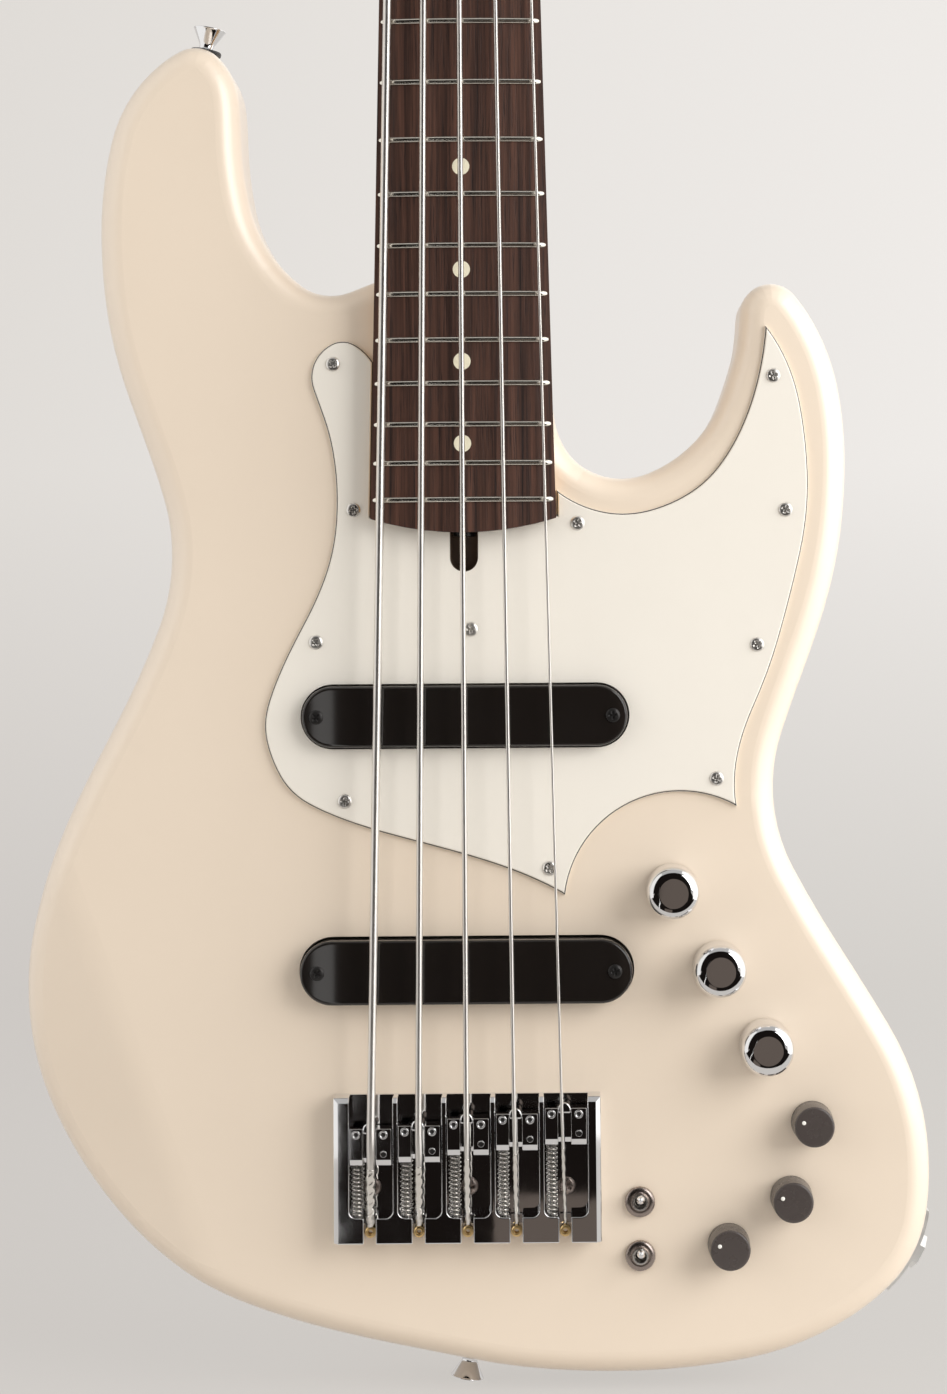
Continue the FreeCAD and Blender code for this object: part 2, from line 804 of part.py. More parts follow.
def make_truss_rod():
    tip = nut_rise - truss_tip_setback - running_gap
    wheel_end = heel_end_rise - running_gap
    wheel_start = wheel_end - truss_wheel_length
    wheel_base = point(0, wheel_start, truss_height)
    wheel = Part.makeCylinder(truss_wheel_radius, truss_wheel_length, wheel_base, upwards)
    middle = (wheel_start + wheel_end) / 2
    spokes = []
    for i in range(2):
        way = Vector(math.cos(math.pi * i / 2), math.sin(math.pi * i / 2), 0)
        start = point(0, middle, truss_height) - way * (2 * truss_wheel_radius)
        spokes.append(Part.makeCylinder(truss_hole_radius, 4 * truss_wheel_radius, start, way))
    rod = Part.makeCylinder(truss_radius, tip - wheel_end, point(0, wheel_end, truss_height), upwards)
    return wheel.cut(spokes).fuse(rod)


# Guard and its screws
def make_guard():
    lobe = guard_lobe_share * body_length
    foot = heel_end_rise - guard_neck_gap
    left_corner = flat(-neck_half_width(lobe) - guard_neck_gap, lobe)
    left_foot = flat(-neck_half_width(foot) - guard_neck_gap, foot)
    right_foot = flat(neck_half_width(foot) + guard_neck_gap, foot)
    left = [left_corner] + [shared(share) for share in guard_left_shares]
    middle, corner = [shared(share) for share in guard_control_arc_shares]
    right = [shared(share) for share in guard_right_shares]
    inner = [shared(share) for share in guard_inner_shares]
    edges = smooth_edges(left, False)
    edges.append(Part.Arc(left[-1], middle, corner).toShape())
    edges += smooth_edges(right, False)
    edges += smooth_edges(inner, False)
    edges.append(straight(inner[-1], right_foot))
    edges.append(straight(right_foot, left_foot))
    edges.append(straight(left_foot, left_corner))
    plate = slab(Part.Wire(edges), 0, guard_thickness)
    front = face - guard_thickness
    rim = [e for e in plate.Edges if all(abs(v.Y - front) < bore_clearance for v in e.Vertexes)]
    plate = plate.makeChamfer(guard_bevel, rim)
    gap = 2 * pickup_cavity_gap
    opening_wire = stadium(pickup_rises[0], pickup_lengths[0] + gap, pickup_widths[0] + gap)
    opening = slab(opening_wire, -overrun, overrun)
    half = truss_access_width / 2
    bottom = heel_end_rise - truss_access_length + half
    access = block(-half, half, -overrun, overrun, bottom, heel_end_rise)
    return plate.cut([opening, access, pin(0, bottom, -overrun, overrun, half)])


def trim_screw(across, rise, seat, way):
    top = trim_screw_height
    profile = [(0, 0), (trim_screw_radius, 0), (trim_screw_top_radius, top), (0, top)]
    return lathe(profile, point(across, rise, seat), way)


def trim_screws(shares, seat, way):
    places = [shared(share) for share in shares]
    return Part.makeCompound([trim_screw(place.x, place.z, seat, way) for place in places])


# Neck joint
def make_neck_plate():
    half = neck_plate_width / 2
    low = neck_plate_rise - neck_plate_length / 2
    high = neck_plate_rise + neck_plate_length / 2
    corners = [flat(-half, low), flat(half, low), flat(half, high), flat(-half, high)]
    wire = rounded(corners, neck_plate_corner)
    plate = slab(wire, -body_thickness - neck_plate_thickness, -body_thickness)
    holes = [pin(x, z, -body_thickness - overrun, 0, neck_screw_radius) for x, z in neck_screw_places]
    return plate.cut(holes)


def make_neck_screws():
    screws = []
    profile = [
        (0, -neck_screw_head_height), (neck_screw_head_radius, -neck_screw_head_height / 2),
        (neck_screw_head_radius, 0), (neck_screw_radius, 0),
        (neck_screw_radius, neck_screw_reach), (0, neck_screw_reach),
    ]
    for across, rise in neck_screw_places:
        screws.append(lathe(profile, point(across, rise, -body_thickness - neck_plate_thickness), forwards))
    return Part.makeCompound(screws)


# Pickups
def make_pickup(index):
    rise = pickup_rises[index]
    length = pickup_lengths[index]
    width = pickup_widths[index]
    top = pickup_tops[index]
    low = top - pickup_body_height
    cover = slab(stadium(rise, length, width), low, top)
    walls = 2 * pickup_wall
    return cover.cut(slab(stadium(rise, length - walls, width - walls), low - overrun, top - pickup_roof))


def make_pickup_coils():
    coils = []
    for rise, top in zip(pickup_rises, pickup_tops):
        roof = top - pickup_roof
        coils.append(slab(stadium(rise, coil_length, coil_width), roof - coil_height, roof))
    return Part.makeCompound(coils)


def make_pickup_foams():
    pads = []
    half = foam_length / 2
    for rise, top in zip(pickup_rises, pickup_tops):
        high = top - pickup_roof - coil_height
        bottom = rise - foam_width / 2
        pads.append(block(-half, half, -pickup_cavity_depth, high, bottom, bottom + foam_width))
    return Part.makeCompound(pads)


def make_pickup_screws():
    half = pickup_screw_spacing / 2
    screws = []
    for rise, top in zip(pickup_rises, pickup_tops):
        screws += [trim_screw(side * half, rise, top, forwards) for side in (-1, 1)]
    return Part.makeCompound(screws)


# Bridge, saddles, springs and strings
def bridge_screw_place(index):
    return channel_centre(index), bridge_tail_rise + bridge_screw_setback


def intonation_across(index):
    return channel_centre(index) - saddle_width / 2 + saddle_left_width / 2


def make_bridge():
    half = bridge_width / 2
    solid = block(-half, half, 0, bridge_wall_height, bridge_foot_rise, bridge_front_rise)
    corners = []
    for edge in solid.Edges:
        ends = [v.Point for v in edge.Vertexes]
        raised = all(end.y < face - bridge_floor for end in ends)
        lengthwise = abs(ends[0].z - ends[1].z) > bridge_tail_length
        leading = all(end.z > bridge_tail_rise for end in ends)
        if raised and (lengthwise or leading):
            corners.append(edge)
    solid = solid.makeChamfer(bridge_chamfer, corners)
    cuts = []
    for index in range(string_count):
        middle = channel_centre(index)
        left = middle - bridge_channel_width / 2
        right = middle + bridge_channel_width / 2
        low = bridge_tail_rise
        corner = bridge_channel_corner
        top = bridge_front_rise + overrun
        wire = Part.Wire([
            straight(flat(left + corner, low), flat(right - corner, low)),
            corner_arc(flat(right - corner, low), flat(right, low), flat(right, low + corner)),
            straight(flat(right, low + corner), flat(right, top)),
            straight(flat(right, top), flat(left, top)),
            straight(flat(left, top), flat(left, low + corner)),
            corner_arc(flat(left, low + corner), flat(left, low), flat(left + corner, low)),
        ])
        cuts.append(slab(wire, bridge_floor, bridge_wall_height + overrun))
        across = bridge_string_across(index)
        slot = string_slot_width / 2
        pocket = ball_pocket_width / 2
        shoulder = bridge_foot_rise + ball_rise_in_tail + ball_radius
        top = bridge_wall_height + overrun
        below = bridge_foot_rise - overrun
        cuts.append(block(across - slot, across + slot, ball_seat_height, top, below, low + overrun))
        cuts.append(block(across - pocket, across + pocket, -overrun, top, below, shoulder))
        hole = point(intonation_across(index), below, intonation_height)
        hole_length = bridge_tail_length + 2 * overrun
        cuts.append(Part.makeCylinder(intonation_screw_radius, hole_length, hole, upwards))
        cuts.append(Part.makeCylinder(intonation_head_radius, overrun + intonation_head_depth, hole, upwards))
    for index in bridge_screw_strings:
        across, rise = bridge_screw_place(index)
        cuts.append(pin(across, rise, -overrun, bridge_floor + overrun, bridge_screw_radius))
    return solid.cut(cuts)


def make_bridge_screws():
    profile = [
        (0, -bridge_screw_reach), (bridge_screw_radius, -bridge_screw_reach), (bridge_screw_radius, 0),
        (bridge_screw_head_radius, 0), (bridge_screw_head_radius, bridge_screw_head_height),
        (0, bridge_screw_head_height),
    ]
    screws = []
    for index in bridge_screw_strings:
        across, rise = bridge_screw_place(index)
        screws.append(lathe(profile, point(across, rise, bridge_floor), forwards))
    return Part.makeCompound(screws)


def make_intonation_screws():
    screws = []
    for index in range(string_count):
        rear = nose_rise(index) - saddle_length
        length = rear + intonation_screw_reach - bridge_foot_rise
        profile = [
            (0, 0), (intonation_head_radius, 0), (intonation_head_radius, intonation_head_depth),
            (intonation_screw_radius, intonation_head_depth), (intonation_screw_radius, length), (0, length),
        ]
        base = point(intonation_across(index), bridge_foot_rise, intonation_height)
        screws.append(lathe(profile, base, upwards))
    return Part.makeCompound(screws)


def make_saddle(index):
    nose = nose_rise(index)
    front = nose - saddle_nose_reach
    rear = nose - saddle_length
    left = channel_centre(index) - saddle_width / 2
    right = left + saddle_width
    throat_left = left + saddle_left_width
    throat_right = throat_left + saddle_throat
    crown = string_height_at_saddle(index) - string_diameters[index] / 2 - running_gap
    top = crown - saddle_shoulder
    solid = block(left, right, saddle_base_bottom, top, rear, front)
    edge = []
    for candidate in solid.Edges:
        if all(v.Z < rear + overrun and v.Y < face - saddle_base_top for v in candidate.Vertexes):
            edge.append(candidate)
    solid = solid.makeChamfer(saddle_rear_chamfer, edge)
    throat = block(throat_left, throat_right, saddle_base_top, top + overrun, rear - overrun, front + overrun)
    solid = solid.cut(throat)
    middle = (throat_left + throat_right) / 2
    half = saddle_throat / 2
    tongue_foot = nose - saddle_tongue_length
    shoulder = nose - half
    plan = Part.Wire([
        straight(flat(throat_left, tongue_foot), flat(throat_right, tongue_foot)),
        straight(flat(throat_right, tongue_foot), flat(throat_right, shoulder)),
        Part.Arc(flat(throat_right, shoulder), flat(middle, nose), flat(throat_left, shoulder)).toShape(),
        straight(flat(throat_left, shoulder), flat(throat_left, tongue_foot)),
    ])
    barrel_start = point(throat_left - overrun, shoulder, crown - saddle_crown_radius)
    barrel = Part.makeCylinder(saddle_crown_radius, saddle_throat + 2 * overrun, barrel_start, rightwards)
    below_barrel = crown - saddle_crown_radius
    stem = block(throat_left - overrun, throat_right + overrun, 0, below_barrel, rear, nose + overrun)
    solid = solid.fuse(slab(plan, saddle_base_bottom, crown).common(barrel.fuse(stem)))
    thread_length = intonation_screw_reach + saddle_back_travel + running_gap
    thread_start = point(intonation_across(index), rear - overrun, intonation_height)
    thread_radius = intonation_screw_radius + running_gap
    cuts = [Part.makeCylinder(thread_radius, thread_length + overrun, thread_start, upwards)]
    rise = front - height_screw_setback
    foot = bridge_floor + running_gap
    screws = []
    for across in (left + saddle_left_width / 2, right - saddle_right_width / 2):
        screws.append(pin(across, rise, foot, top - height_screw_drop, height_screw_radius))
        cuts.append(pin(across, rise, foot, top + overrun, height_screw_radius + bore_clearance))
    return Part.makeCompound([solid.cut(cuts)] + screws)


def make_spring(index):
    low = bridge_tail_rise + running_gap + spring_wire_radius
    high = nose_rise(index) - saddle_length - running_gap - spring_wire_radius
    pitch = (high - low) / spring_turns
    centre = point(intonation_across(index), low, intonation_height)
    stops = []
    for i in range(2 * spring_turns + 1):
        stops.append(coil(centre, rightwards, backwards, upwards, spring_radius, pitch, i))
    edges = []
    for here, after in zip(stops, stops[1:]):
        edges += biarc(here[0], here[1], after[0], after[1])
    gap = least_self_gap(edges, spring_wire_radius, 8, 4)
    print("spring", string_names[index], "least gap to itself", round(gap, 2))
    return tube(edges, spring_wire_radius, spring_sides)


def make_string(index):
    radius = string_diameters[index] / 2
    ball_rise = bridge_foot_rise + ball_rise_in_tail
    ball_height = ball_seat_height + ball_length / 2
    break_rise = nose_rise(index) - saddle_string_lead
    saddle_height = string_height_at_saddle(index)
    across_post, rise_post = post_place(index)
    side = -post_sides[index] * rightwards
    start = point(bridge_string_across(index), ball_rise + ball_radius, ball_height)
    saddle = point(string_across(index, break_rise), break_rise, saddle_height)
    nut_middle = nut_rise + nut_length / 2
    nut = point(string_across(index, nut_middle), nut_middle, string_height_at_nut(index))
    centre = point(across_post, rise_post, winding_top)
    pitch = 2 * radius + winding_gap
    stops = []
    for i in range(winding_half_turns + 1):
        stops.append(coil(centre, side, upwards, backwards, winding_radius(index), pitch, i))
    route = [start, saddle, nut, stops[0][0]]
    edges = []
    here = start
    for before, corner, after in zip(route, route[1:], route[2:]):
        arrive = corner + (before - corner).normalize() * string_bend_leg
        leave = corner + (after - corner).normalize() * string_bend_leg
        edges.append(straight(here, arrive))
        edges.append(corner_arc(arrive, corner, leave))
        here = leave
    edges.append(straight(here, stops[0][0]))
    arriving = (stops[0][0] - nut).normalize()
    edges += biarc(stops[0][0], arriving, stops[1][0], stops[1][1])
    for here, after in zip(stops[1:], stops[2:]):
        edges += biarc(here[0], here[1], after[0], after[1])
    gap = least_self_gap(edges[-2 * winding_half_turns:], radius, 16, 4)
    print("string", string_names[index], "least gap of its winding to itself", round(gap, 2))
    across = bridge_string_across(index)
    ball_top = ball_seat_height + ball_length
    ball = pin(across, ball_rise, ball_seat_height, ball_top, ball_radius)
    hole = pin(across, ball_rise, ball_seat_height, ball_top, ball_hole_radius)
    return Part.makeCompound([tube(edges, radius, string_sides), ball.cut(hole)])


# Controls
def knob_profile(radius, rim, flat_radius, shoulder, height):
    socket = shaft_radius + bore_clearance
    return [
        (socket, 0), (radius, 0), (rim, shoulder), (flat_radius, height), (0, height),
        (0, knob_socket_depth), (socket, knob_socket_depth),
    ]


def knob_shaft(across, rise):
    return pin(across, rise, cavity_floor - shaft_tail, knob_lift + knob_socket_depth, shaft_radius)


def make_chrome_knob(index):
    across, rise = chrome_knob_places[index]
    profile = knob_profile(
        chrome_knob_radius, chrome_knob_rim_radius, chrome_knob_flat_radius,
        chrome_knob_shoulder, chrome_knob_height,
    )
    cap = lathe(profile, point(across, rise, knob_lift), forwards)
    return Part.makeCompound([cap, knob_shaft(across, rise)])


def make_black_knob(index):
    across, rise = black_knob_places[index]
    profile = knob_profile(
        black_knob_radius, black_knob_rim_radius, black_knob_flat_radius,
        black_knob_shoulder, black_knob_height,
    )
    cap = lathe(profile, point(across, rise, knob_lift), forwards)
    top = knob_lift + black_knob_height
    dot = pin(across - black_knob_dot_offset, rise, top, top + black_knob_dot_height, black_knob_dot_radius)
    return Part.makeCompound([cap, knob_shaft(across, rise), dot])


def make_potentiometers():
    bore = shaft_radius + running_gap
    can_bottom = cavity_floor - pot_depth
    shaft_bottom = cavity_floor - shaft_tail - running_gap
    profile = [
        (0, can_bottom), (pot_radius, can_bottom), (pot_radius, cavity_floor),
        (pot_bushing_radius, cavity_floor), (pot_bushing_radius, 0),
        (pot_nut_radius, 0), (pot_nut_radius, pot_nut_height),
        (bore, pot_nut_height), (bore, shaft_bottom), (0, shaft_bottom),
    ]
    return Part.makeCompound([lathe(profile, flat(across, rise), forwards) for across, rise in knob_places])


def make_switch_bodies():
    switches = []
    half = toggle_box_width / 2
    tall = toggle_box_length / 2
    low = cavity_floor - toggle_box_depth
    mouth_bottom = toggle_pivot_height - toggle_ball_radius - running_gap
    for across, rise in toggle_places:
        box = block(across - half, across + half, low, cavity_floor, rise - tall, rise + tall)
        bushing = pin(across, rise, cavity_floor, toggle_bushing_height, toggle_bushing_radius)
        mouth = pin(across, rise, mouth_bottom, overrun, toggle_mouth_radius)
        nut = pin(across, rise, 0, toggle_nut_height, toggle_nut_radius)
        switches.append(box.fuse([bushing, nut]).cut(mouth))
    return Part.makeCompound(switches)


def make_toggle_lever(index):
    across, rise = toggle_places[index]
    pivot = point(across, rise, toggle_pivot_height)
    lean = math.radians(toggle_tilt)
    way = Vector(0, -math.cos(lean), math.sin(lean))
    bevel = toggle_ball_radius * math.sqrt(0.5)
    tip_start = toggle_lever_length - toggle_tip_radius
    profile = [
        (0, -toggle_ball_radius), (bevel, -bevel), (toggle_ball_radius, 0), (bevel, bevel),
        (toggle_root_radius, toggle_ball_radius), (toggle_tip_radius, tip_start),
        (toggle_tip_radius * toggle_tip_share, toggle_lever_length - toggle_root_radius * toggle_tip_share),
        (0, toggle_lever_length),
    ]
    return lathe(profile, pivot, way)


def make_control_cover():
    wire = cavity_wire(cover_ledge - cover_gap)
    return slab(wire, -body_thickness, cover_thickness - body_thickness)


def make_battery():
    low = cavity_floor - battery_depth
    left, bottom = body_place(battery_corner_share)
    return block(left, left + battery_width, low, cavity_floor, bottom, bottom + battery_length)


def make_preamp_board():
    high = cavity_floor - pot_depth
    left = chrome_knob_places[1][0] - board_offset_share * body_width
    bottom = body_place(battery_corner_share)[1] + battery_length + board_battery_gap
    return block(left, left + board_width, high - board_thickness, high, bottom, bottom + board_length)


def make_jack_plate():
    outer = body_wire.makeOffset2D(jack_plate_thickness)
    low = -body_thickness / 2 - jack_plate_height / 2
    high = low + jack_plate_height
    ring = slab(outer, low, high).cut(slab(body_wire, low - overrun, high + overrun))
    reach = jack_plate_length / 2
    tall = jack_plate_height
    patch = Part.makeBox(2 * reach, 2 * tall, 2 * reach, Vector(-reach, -tall, -reach))
    patch.Placement = FreeCAD.Placement(jack_seat, FreeCAD.Rotation(rightwards, jack_out))
    hole_start = jack_seat + jack_out * (2 * overrun)
    hole = Part.makeCylinder(jack_barrel_radius + bore_clearance, 4 * overrun, hole_start, -jack_out)
    return ring.common(patch).cut(hole)


def make_output_jack():
    outer = jack_plate_thickness + bore_clearance
    mouth = jack_seat + jack_out * (outer + jack_nut_height)
    barrel = Part.makeCylinder(jack_barrel_radius, jack_barrel_length, mouth, -jack_out)
    corners = []
    seat = jack_seat + jack_out * outer
    side = jack_out.cross(backwards)
    for i in range(jack_corners):
        turn = 2 * math.pi * i / jack_corners
        spoke = side * math.cos(turn) + backwards * math.sin(turn)
        corners.append(seat + spoke * jack_nut_radius)
    nut = Part.Face(polygon(corners)).extrude(jack_out * jack_nut_height)
    bore_start = mouth + jack_out * overrun
    bore = Part.makeCylinder(jack_bore_radius, jack_bore_depth + overrun, bore_start, -jack_out)
    return nut.fuse(barrel).cut(bore)


# Strap buttons
def make_strap_buttons():
    profile = [
        (0, 0), (button_base_radius, 0), (button_base_radius, button_base_height),
        (button_neck_radius, button_base_height), (button_neck_radius, button_neck_height),
        (button_flange_radius, button_neck_height), (button_flange_radius, button_height), (0, button_height),
    ]
    buttons = []
    for seat, way in strap_seats:
        base = seat + way * felt_thickness
        screw = Part.makeCylinder(button_screw_radius, button_screw_reach + felt_thickness, base, -way)
        buttons.append(lathe(profile, base, way).fuse(screw))
    return Part.makeCompound(buttons)


def make_strap_felts():
    felts = []
    for seat, way in strap_seats:
        felt = Part.makeCylinder(felt_radius, felt_thickness, seat, way)
        felts.append(felt.cut(Part.makeCylinder(button_screw_radius, felt_thickness, seat, way)))
    return Part.makeCompound(felts)


# Tuners
def key_axis_height():
    return headstock_back - housing_depth / 2


def make_tuner_housings():
    housings = []
    for index in range(string_count):
        across, rise = post_place(index)
        way = key_way(index)
        side = way.cross(backwards)
        base = point(across, rise, headstock_back)
        half = housing_width / 2
        corners = [
            base - way * housing_inner_reach - side * half,
            base + way * housing_outer_reach - side * half,
            base + way * housing_outer_reach + side * half,
            base - way * housing_inner_reach + side * half,
        ]
        box = Part.Face(polygon(corners)).extrude(backwards * housing_depth)
        middle = face - key_axis_height()
        rim = [e for e in box.Edges if all(v.Y > middle for v in e.Vertexes)]
        box = box.makeChamfer(housing_chamfer, rim)
        post_bottom = headstock_back - post_foot - running_gap
        post = pin(across, rise, post_bottom, headstock_back + overrun, post_radius + running_gap)
        axis = point(across, rise, key_axis_height())
        start = axis + way * (key_shaft_start - running_gap)
        shaft = Part.makeCylinder(key_shaft_radius + running_gap, housing_outer_reach, start, way)
        housings.append(box.cut([post, shaft]))
    return Part.makeCompound(housings)


def make_tuner_bushings():
    bushings = []
    bore = post_radius + running_gap
    profile = [
        (bore, -headstock_thickness), (bushing_radius, -headstock_thickness), (bushing_radius, 0),
        (bushing_flange_radius, 0), (bushing_flange_radius, bushing_flange_height),
        (bore, bushing_flange_height),
    ]
    for index in range(string_count):
        across, rise = post_place(index)
        bushings.append(lathe(profile, point(across, rise, headstock_face), forwards))
    return Part.makeCompound(bushings)


def make_tuner_post(index):
    across, rise = post_place(index)
    top = headstock_face + post_height
    post = pin(across, rise, headstock_back - post_foot, top, post_radius)
    half = post_slot_width / 2
    reach = 2 * post_radius
    bottom = top - post_slot_depth
    slot = block(across - half, across + half, bottom, top + overrun, rise - reach, rise + reach)
    return post.cut(slot)


def make_tuner_key(index):
    across, rise = post_place(index)
    way = key_way(index)
    side = way.cross(backwards)
    axis = point(across, rise, key_axis_height())
    tip_reach = key_length - key_lobe_radius
    shaft_length = key_shaft_end + tip_reach - key_shaft_start
    shaft = Part.makeCylinder(key_shaft_radius, shaft_length, axis + way * key_shaft_start, way)
    middle = axis + way * key_shaft_end + forwards * (key_thickness / 2)
    lobes = []
    places = [(key_lobe_radius, -key_lobe_spread), (key_lobe_radius, key_lobe_spread), (tip_reach, 0)]
    for reach, spread in places:
        centre = middle + way * reach + side * spread
        lobes.append(Part.makeCylinder(key_lobe_radius, key_thickness, centre, backwards))
    return shaft.fuse(lobes).removeSplitter()


# Every piece under its node name
fretboard, position_markers = make_fretboard()
pieces = {
    "body": make_body(),
    "neck": make_neck(),
    "fretboard": fretboard,
    "position_markers": position_markers,
    "frets": make_frets(),
    "nut": make_nut(),
    "truss_rod": make_truss_rod(),
    "guard": make_guard(),
    "guard_screws": trim_screws(guard_screw_shares, guard_thickness, forwards),
    "neck_plate": make_neck_plate(),
    "neck_screws": make_neck_screws(),
    "neck_pickup": make_pickup(0),
    "bridge_pickup": make_pickup(1),
    "pickup_coils": make_pickup_coils(),
    "pickup_foams": make_pickup_foams(),
    "pickup_screws": make_pickup_screws(),
    "bridge_block": make_bridge(),
    "bridge_screws": make_bridge_screws(),
    "intonation_screws": make_intonation_screws(),
    "saddle_springs": Part.makeCompound([make_spring(i) for i in range(string_count)]),
    "potentiometers": make_potentiometers(),
    "switch_bodies": make_switch_bodies(),
    "control_cover": make_control_cover(),
    "cover_screws": trim_screws(cover_screw_shares, -body_thickness, backwards),
    "battery": make_battery(),
    "preamp_board": make_preamp_board(),
    "jack_plate": make_jack_plate(),
    "output_jack": make_output_jack(),
    "strap_buttons": make_strap_buttons(),
    "strap_felts": make_strap_felts(),
    "tuner_housings": make_tuner_housings(),
    "tuner_bushings": make_tuner_bushings(),
    "upper_toggle_lever": make_toggle_lever(0),
    "lower_toggle_lever": make_toggle_lever(1),
}
for i, place in enumerate(("upper", "middle", "lower")):
    pieces[place + "_chrome_knob"] = make_chrome_knob(i)
    pieces[place + "_black_knob"] = make_black_knob(i)
for i, name in enumerate(string_names):
    pieces["string_" + name] = make_string(i)
    pieces["saddle_" + name] = make_saddle(i)
    pieces["tuner_post_" + name] = make_tuner_post(i)
    pieces["tuner_key_" + name] = make_tuner_key(i)

for name, shape in pieces.items():
    shape.exportStep("parts/" + name + ".step")
print(len(pieces), "pieces, all valid:", all(shape.isValid() for shape in pieces.values()))
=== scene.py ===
# %% [markdown]
# # A five-string electric bass
# The construction of this bass is already built and packed: body, neck, bridge, controls and tuners stand in
# their real places as rigid bodies with joints between them. This lesson dresses it. It keeps the packed
# pieces that only need a finish, and makes new pieces where the eye wants more: strings, frets, bridge,
# saddles, springs, pickup covers, screws, knobs and strap buttons. Everything is in metres, in the frame of
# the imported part, with X across, Z up the neck and the front facing -Y.

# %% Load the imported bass
import math
import bmesh
import bpy
from mathutils import Matrix, Vector, noise


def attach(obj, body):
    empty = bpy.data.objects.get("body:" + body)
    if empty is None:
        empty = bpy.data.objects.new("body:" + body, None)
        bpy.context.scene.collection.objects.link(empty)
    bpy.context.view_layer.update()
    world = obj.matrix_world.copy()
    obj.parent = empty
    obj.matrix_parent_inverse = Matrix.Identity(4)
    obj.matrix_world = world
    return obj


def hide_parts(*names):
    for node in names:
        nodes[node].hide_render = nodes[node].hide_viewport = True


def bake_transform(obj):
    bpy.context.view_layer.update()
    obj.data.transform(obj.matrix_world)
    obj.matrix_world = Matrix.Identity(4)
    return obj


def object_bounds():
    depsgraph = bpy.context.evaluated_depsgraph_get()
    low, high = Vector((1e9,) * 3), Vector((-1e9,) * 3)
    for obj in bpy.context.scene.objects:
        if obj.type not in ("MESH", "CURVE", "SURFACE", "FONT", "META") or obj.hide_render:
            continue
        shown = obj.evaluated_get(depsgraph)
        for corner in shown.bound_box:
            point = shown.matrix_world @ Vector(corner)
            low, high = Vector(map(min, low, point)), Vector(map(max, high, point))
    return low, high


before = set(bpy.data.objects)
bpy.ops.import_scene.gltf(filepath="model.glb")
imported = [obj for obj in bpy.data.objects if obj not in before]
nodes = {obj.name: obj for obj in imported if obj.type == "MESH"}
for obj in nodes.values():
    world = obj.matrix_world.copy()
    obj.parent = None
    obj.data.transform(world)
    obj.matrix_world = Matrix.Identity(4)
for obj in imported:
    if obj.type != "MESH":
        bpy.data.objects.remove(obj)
cad_low, cad_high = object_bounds()
scene = bpy.context.scene

# %% [markdown]
# The bass is measured in millimetres, as a maker would, from the middle of the body's bottom end. One helper
# turns those numbers into a point of the scene: how far across, how far up, and how far in front of the
# body's face.

# %% Places on the bass
mm = 0.001
body_half_thickness = 22.25


def spot(across, rise, height):
    return Vector((across, -body_half_thickness - height, rise)) * mm


print("a point on the face at the bridge:", tuple(round(v, 4) for v in spot(0, 96.5, 0)))

# %% [markdown]
# The photograph was taken with a long lens from a little over a metre away, slightly to the right of the
# neck, and then cropped. A cropped picture keeps the perspective of the whole one, so the camera keeps its
# true direction and the crop becomes a lens shift. Turning the camera instead would make the body's sides
# lean.

# %% Camera
lens_tilt = math.radians(2.2)
lens_roll = math.radians(0.45)
camera_data = bpy.data.cameras.new("studio_camera")
camera_data.sensor_width = 36
camera_data.lens = 73.42
camera_data.shift_x = -0.062
camera_data.shift_y = -0.1334
camera = bpy.data.objects.new("studio_camera", camera_data)
scene.collection.objects.link(camera)
scene.camera = camera
forward = Vector((0, math.cos(lens_tilt), math.sin(lens_tilt)))
level = Vector((1, 0, 0))
up = level.cross(forward) * math.cos(lens_roll) + level * math.sin(lens_roll)
right = forward.cross(up)
camera.matrix_world = Matrix((right, up, -forward)).transposed().to_4x4()
camera.matrix_world.translation = Vector((38.1, -1149.0, 291.1)) * mm
print("camera at", tuple(round(v, 3) for v in camera.matrix_world.translation))

# %% [markdown]
# Node colours are linear light, while a picked colour is encoded for a screen. One helper converts the
# usual 0 to 255 values. A second one starts a material with a Principled shader whose plain values are set
# straight on its sockets. Textures come in afterwards, one effect at a time: one helper adds a node, and
# another joins nodes row by row. A row names a node and its output, then the next node and its input.

# %% Colours and shaders
mix_a, mix_b, mixed = 6, 7, 2  # the places of the two colours and the result on a colour mix


def paint(red, green, blue):
    linear = []
    for value in (red / 255, green / 255, blue / 255):
        linear.append(value / 12.92 if value <= 0.04045 else ((value + 0.055) / 1.055) ** 2.4)
    return (*linear, 1.0)


def shader_of(material):
    return material.node_tree.nodes["Principled BSDF"]


def start_finish(name, colour, roughness, metallic=0.0, **plain):
    material = bpy.data.materials.new(name)
    material.use_nodes = True
    values = {"Base_Color": colour, "Roughness": roughness, "Metallic": metallic, **plain}
    for socket, value in values.items():
        shader_of(material).inputs[socket.replace("_", " ")].default_value = value
    return material


def add_node(tree, kind, sockets=None, **settings):
    node = tree.nodes.new("ShaderNode" + kind)
    for name, value in settings.items():
        if hasattr(node, name):
            setattr(node, name, value)
        else:
            node.inputs[name.replace("_", " ")].default_value = value
    for number, value in (sockets or {}).items():
        node.inputs[number].default_value = value
    return node


def wire(tree, *rows):
    for source, out, target, into in rows:
        tree.links.new(source.outputs[out], target.inputs[into])


print("cream as light:", tuple(round(v, 3) for v in paint(232, 216, 194)[:3]))

# %% [markdown]
# A pale sweep of paper carries on from the floor to the wall in one curve, so there is no horizon line. Its
# profile is drawn once and stretched sideways.

